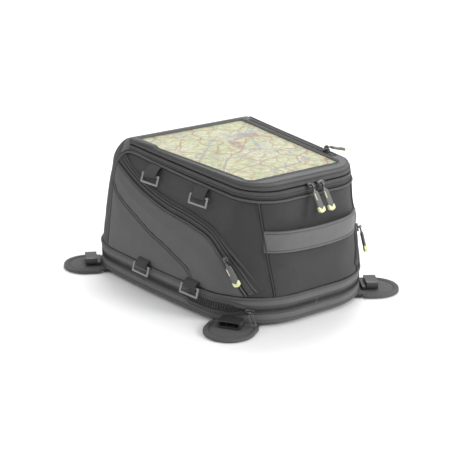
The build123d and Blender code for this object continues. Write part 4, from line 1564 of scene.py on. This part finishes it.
NECK = ((-1.2, -2.0), (1.2, -2.0), (1.9, -4.5), (2.0, -9.6), (-2.0, -9.6), (-1.9, -4.5))
GRIP_RUN = ((-7.6, 6.4, 2.6), (-8.2, 8.0, 3.2), (-9.6, 8.8, 3.7), (-14.0, 9.3, 3.9), (-24.0, 9.6, 4.0),
            (-31.0, 9.8, 4.0), (-31.6, 9.4, 3.7))      # place along the pull, width and thickness
STRIP = ((-3.4, -10.5), (-2.3, -10.5), (-2.2, -20.0), (-3.3, -20.0))
TIP = ((-5.0, -29.6), (-4.2, -29.6), (0.0, -33.6), (4.2, -29.6), (5.0, -29.6), (4.9, -35.2), (3.6, -36.2),
       (0.4, -37.6), (-3.6, -36.2), (-4.9, -35.2))
END = ((-4.1, -29.8), (4.1, -29.8), (0.0, -33.9))


def pull_piece(name, place):
    """A pull: metal eye and neck, a textured grip with a pale strip on top and a bright tip."""
    hook = joined(name + "_hook", [eye(), prism("neck", NECK, -0.9, 0.9, 0.0003)])
    put(moved(hook, place), SLIDER_METAL, name, (name,))
    rings = np.array([[(x, y * MM, z) for x, z in round_profile(w * MM, h * MM, count=20, power=3.2)]
                      for y, w, h in GRIP_RUN])
    for obj, material in ((tube(name + "_grip", rings), GRIP),
                          (prism(name + "_strip", STRIP, 1.2, 2.12, 0.0002), HIGHLIGHT),
                          (prism(name + "_tip", TIP, -2.0, 2.1, 0.0005), HIGHLIGHT),
                          (prism(name + "_end", END, -1.7, 1.7), GRIP)):
        put(moved(obj, place), material, name)


def pull_frame(name, y_near):
    """The frame at a pull's joint: x along its rod."""
    joint = JOINT_OF[name]
    return frame_at(joint["pos_m"], -Vector(joint["axis"]), y_near)


WIRE_LOOP = ((1.0, -2.2), (2.4, -3.6), (2.5, -8.0), (2.5, -17.2), (1.7, -19.3), (0.0, -19.8), (-1.7, -19.3),
             (-2.5, -17.2), (-2.5, -8.0), (-2.4, -3.6), (-1.0, -2.2))


def sliders_and_pulls():
    for side_name, side in SIDES:
        name = f"main_pull_{side_name}"
        place = pull_frame(name, UP)
        slider_piece(f"main_slider_{side_name}_metal", place, True, f"main_slider_{side_name}", side < 0)
        pull_piece(name, place @ turned(-35, "X"))
        name = f"pocket_pull_{side_name}"
        run = -Vector(JOINT_OF[f"pocket_slider_{side_name}"]["axis"])
        place = pull_frame(name, run if run.z > 0 else -run)
        slider_piece(f"pocket_slider_{side_name}_metal", place, False, f"pocket_slider_{side_name}")
        pull_piece(name, place)
    place = pull_frame("map_pull", Vector((0, -0.027, 1)).cross(-Vector(JOINT_OF["map_pull"]["axis"])))
    slider_piece("map_slider_metal", place, True, "map_slider")
    pull_piece("map_pull", place @ turned(15, "X"))
    # the base's pull is a bent wire loop
    place = pull_frame("base_pull", UP)
    slider_piece("base_slider_metal", place, True, "base_slider", True)
    wire = moved(rod("wire", [(x, y, 0) for x, y in WIRE_LOOP], 0.0015, UP), turned(22, "Z"))
    obj = moved(joined("base_pull_wire", [eye(), wire]), place @ turned(-38, "X"))
    put(obj, SLIDER_METAL, "base_pull", ("base_pull",))


sliders_and_pulls()


# ---- Magnet flaps and their buckles ----
FLAP_R, FLAP_REACH = 0.0345, 0.024


def flap_plan(grow=0.0):
    """Half-round flap in its own frame: x along the hinge, y outwards from it."""
    r = FLAP_R + grow
    angles = np.linspace(0, pi, 49)
    line = np.c_[r * np.cos(angles), FLAP_REACH - 0.002 + r * np.sin(angles)]
    root = 0.0005 - grow
    return closed_even(np.vstack([[(r, root)], line, [(-r, root)]]), 0.0016)


def flap_frame(body):
    """The frame of a flap or its buckle at floor level: x along the joint's axis, y away from the bag."""
    joint = JOINT_OF[body]
    pivot = Vector((*joint["pos_m"][:2], 0.0))
    y_dir = UP.cross(Vector(joint["axis"]))
    if y_dir.dot(pivot) < 0:
        y_dir = -y_dir
    return Matrix.Translation(pivot) @ Matrix((y_dir.cross(UP), y_dir, UP)).transposed().to_4x4()


# a flap's upper side, as (how far in from its edge, height) of each ring, with a sewn channel
FLAP_RINGS = ((0.0, 0.0030), (0.0, 0.0046), (0.05, 0.0055), (0.10, 0.0053), (0.15, 0.0044), (0.17, 0.0040),
              (0.20, 0.0047), (0.30, 0.0053), (0.5, 0.0057), (0.75, 0.0058), (0.93, 0.0058))
FLAP_ROOT = 0.0012                 # the flap starts this far out from its fold
LEAST_Z = 0.0003


def flaps():
    middle = np.array([0.0, FLAP_REACH * 0.6])
    outline = flap_plan()
    upper = np.array([np.c_[outline * (1 - share) + middle * share, np.full(len(outline), z)]
                      for share, z in FLAP_RINGS])
    lower = upper.copy()
    lower[..., 2] = np.interp(upper[..., 2], [0.003, 0.0058], [0.0022, 0.0004])
    lower[0, :, 2] = 0.0018
    seam = np.c_[outline * 0.845 + middle * 0.155, np.full(len(outline), 0.0045)]
    seam = np.vstack([seam, seam[:1]])
    edge = flap_plan(-0.0006)
    order = np.argsort(np.arctan2(edge[:, 1] - 0.005, edge[:, 0]))
    edge = even(edge[order][edge[order, 1] > 0.0052], 0.0016)
    edge = np.c_[edge, np.full(len(edge), 0.0032)]
    out = np.c_[unit(edge[:, :2] - middle), np.zeros(len(edge))]
    for side_name, side in SIDES:
        for end_name in ENDS:
            body = f"flap_{end_name}_{side_name}"
            place = flap_frame(body)
            verts, faces, uvs = flap_mesh(upper, lower, middle)
            for k, (x, y, z) in enumerate(verts):
                puff = 0.0003 * noise.noise(Vector((x * 60 + side, y * 60, place.translation.y * 40)))
                cut_back = 0.0042 - 0.45 * max(y - FLAP_ROOT, 0)
                verts[k] = (x, max(y, FLAP_ROOT), max(z + puff, LEAST_Z, cut_back))
            obj = moved(build(body + "_pad", verts, faces, uvs, 60), place)
            put(obj, FLAP, body, (body,))
            spots = (np.array(place.to_3x3()) @ seam.T).T + np.array(place.translation)
            stitches(body + "_stitches", spots, np.tile(UP, (len(spots), 1)), 0.0, body, PALE_THREAD, 0.0034,
                     0.0024, 0.0005)
            bound = sweep(body + "_binding", edge, out, round_profile(0.0052, 0.0032, count=12, power=2.4))
            put(moved(bound, place), PIPING, body)
            flap_hinge(body, place)
            buckle_piece(f"buckle_{end_name}_{side_name}")


def flap_hinge(body, place):
    """The strip of fabric over the fold, between the base's tongue and the flap."""
    y, x = np.meshgrid(np.linspace(-0.006, 0.006, 13), np.linspace(-0.029, 0.029, 9), indexing="ij")
    outer = np.stack([x, y, np.full(x.shape, 0.0056)], axis=-1)
    inner = np.stack([x, y, np.full(x.shape, 0.0049)], axis=-1)
    obj = moved(slab(body + "_hinge", outer, inner), place)
    obj.data.materials.append(FLAP)
    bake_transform(obj)


def flap_mesh(upper, lower, middle):
    """One closed cushion from rings above and rings below."""
    rows, cols = upper.shape[:2]
    flat = rows * cols
    verts = [tuple(v) for v in upper.reshape(-1, 3)] + [tuple(v) for v in lower.reshape(-1, 3)]
    verts += [(middle[0], middle[1], float(rings[-1, 0, 2])) for rings in (upper, lower)]
    after = [(c + 1) % cols for c in range(cols)]
    faces = []
    for layer, turn in ((0, 1), (1, -1)):
        first = layer * flat
        for r in range(first, first + flat - cols, cols):
            faces += [[r + c, r + n, r + cols + n, r + cols + c][::turn] for c, n in enumerate(after)]
        inner = first + flat - cols
        faces += [[inner + c, inner + n, 2 * flat + layer][::turn] for c, n in enumerate(after)]
    faces += [[c, flat + c, flat + n, n] for c, n in enumerate(after)]
    return verts, faces, [verts[v][:2] for face in faces for v in face]


BUCKLE_LOW = 6.6
SLEEVE_RUN = ((5.0, 0, 0.93), (5.6, 0, 1), (21.2, 0, 1), (22.0, 0, 0.985), (22.0, 1, 1.02), (21.4, 1, 1),
              (9.0, 1, 1))         # place along the buckle, outside or inside, width


def buckle_piece(body):
    """A side-squeeze buckle: a rounded housing with a dark mouth facing out, over a bar held by webbing."""
    low = BUCKLE_LOW
    shapes = (round_profile(33.6, 11.0, (0.0, low + 5.7), 28, 6.0),
              round_profile(27.6, 6.0, (0.0, low + 5.6), 28, 6.0))
    rings = np.array([[(x * MM, y * MM, z * MM) for x, z in shapes[inside] * (wide, 1)]
                      for y, inside, wide in SLEEVE_RUN])
    parts = [tube("sleeve", rings, sharp=30),
             prism("bar", ((-15, -0.8), (15, -0.8), (15.4, 6.0), (-15.4, 6.0)), low, low + 4.6, 0.0006)]
    for x in (-5.5, 5.5):
        plan = ((x - 0.6, 9.5), (x + 0.6, 9.5), (x + 0.6, 17.0), (x - 0.6, 17.0))
        parts.append(prism("rib", plan, low + 2.2, low + 4.4, 0.0002))
    obj = joined(body + "_case", parts)
    put(moved(obj, flap_frame(body)), BUCKLE, body, (body,))


flaps()


# ---- CAD nodes shown as they are ----
DRESSED = (("grip_pad", RUBBER, "grip_rubber"), ("base_panel", BOARD, "board"),
           ("floor_board", fabric("floor_lining", 0.08, 0.0008, cloth=False), "board"),
           ("magnet", MAGNET, "magnet"), ("ring_upper", RING_METAL, "ring_metal"),
           ("ring_lower", RING_METAL, "ring_metal"),
           ("flap_tongues", fabric("tongue_fabric", 0.030, 0.0008, cloth=False), "band_fabric"))

for node in list(bpy.data.objects):
    if "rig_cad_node" in node and node.type == "MESH" and not node.hide_render:
        for start, material, slot in DRESSED:
            if node.name.startswith(start):
                node.data.materials.clear()
                node.data.materials.append(material)
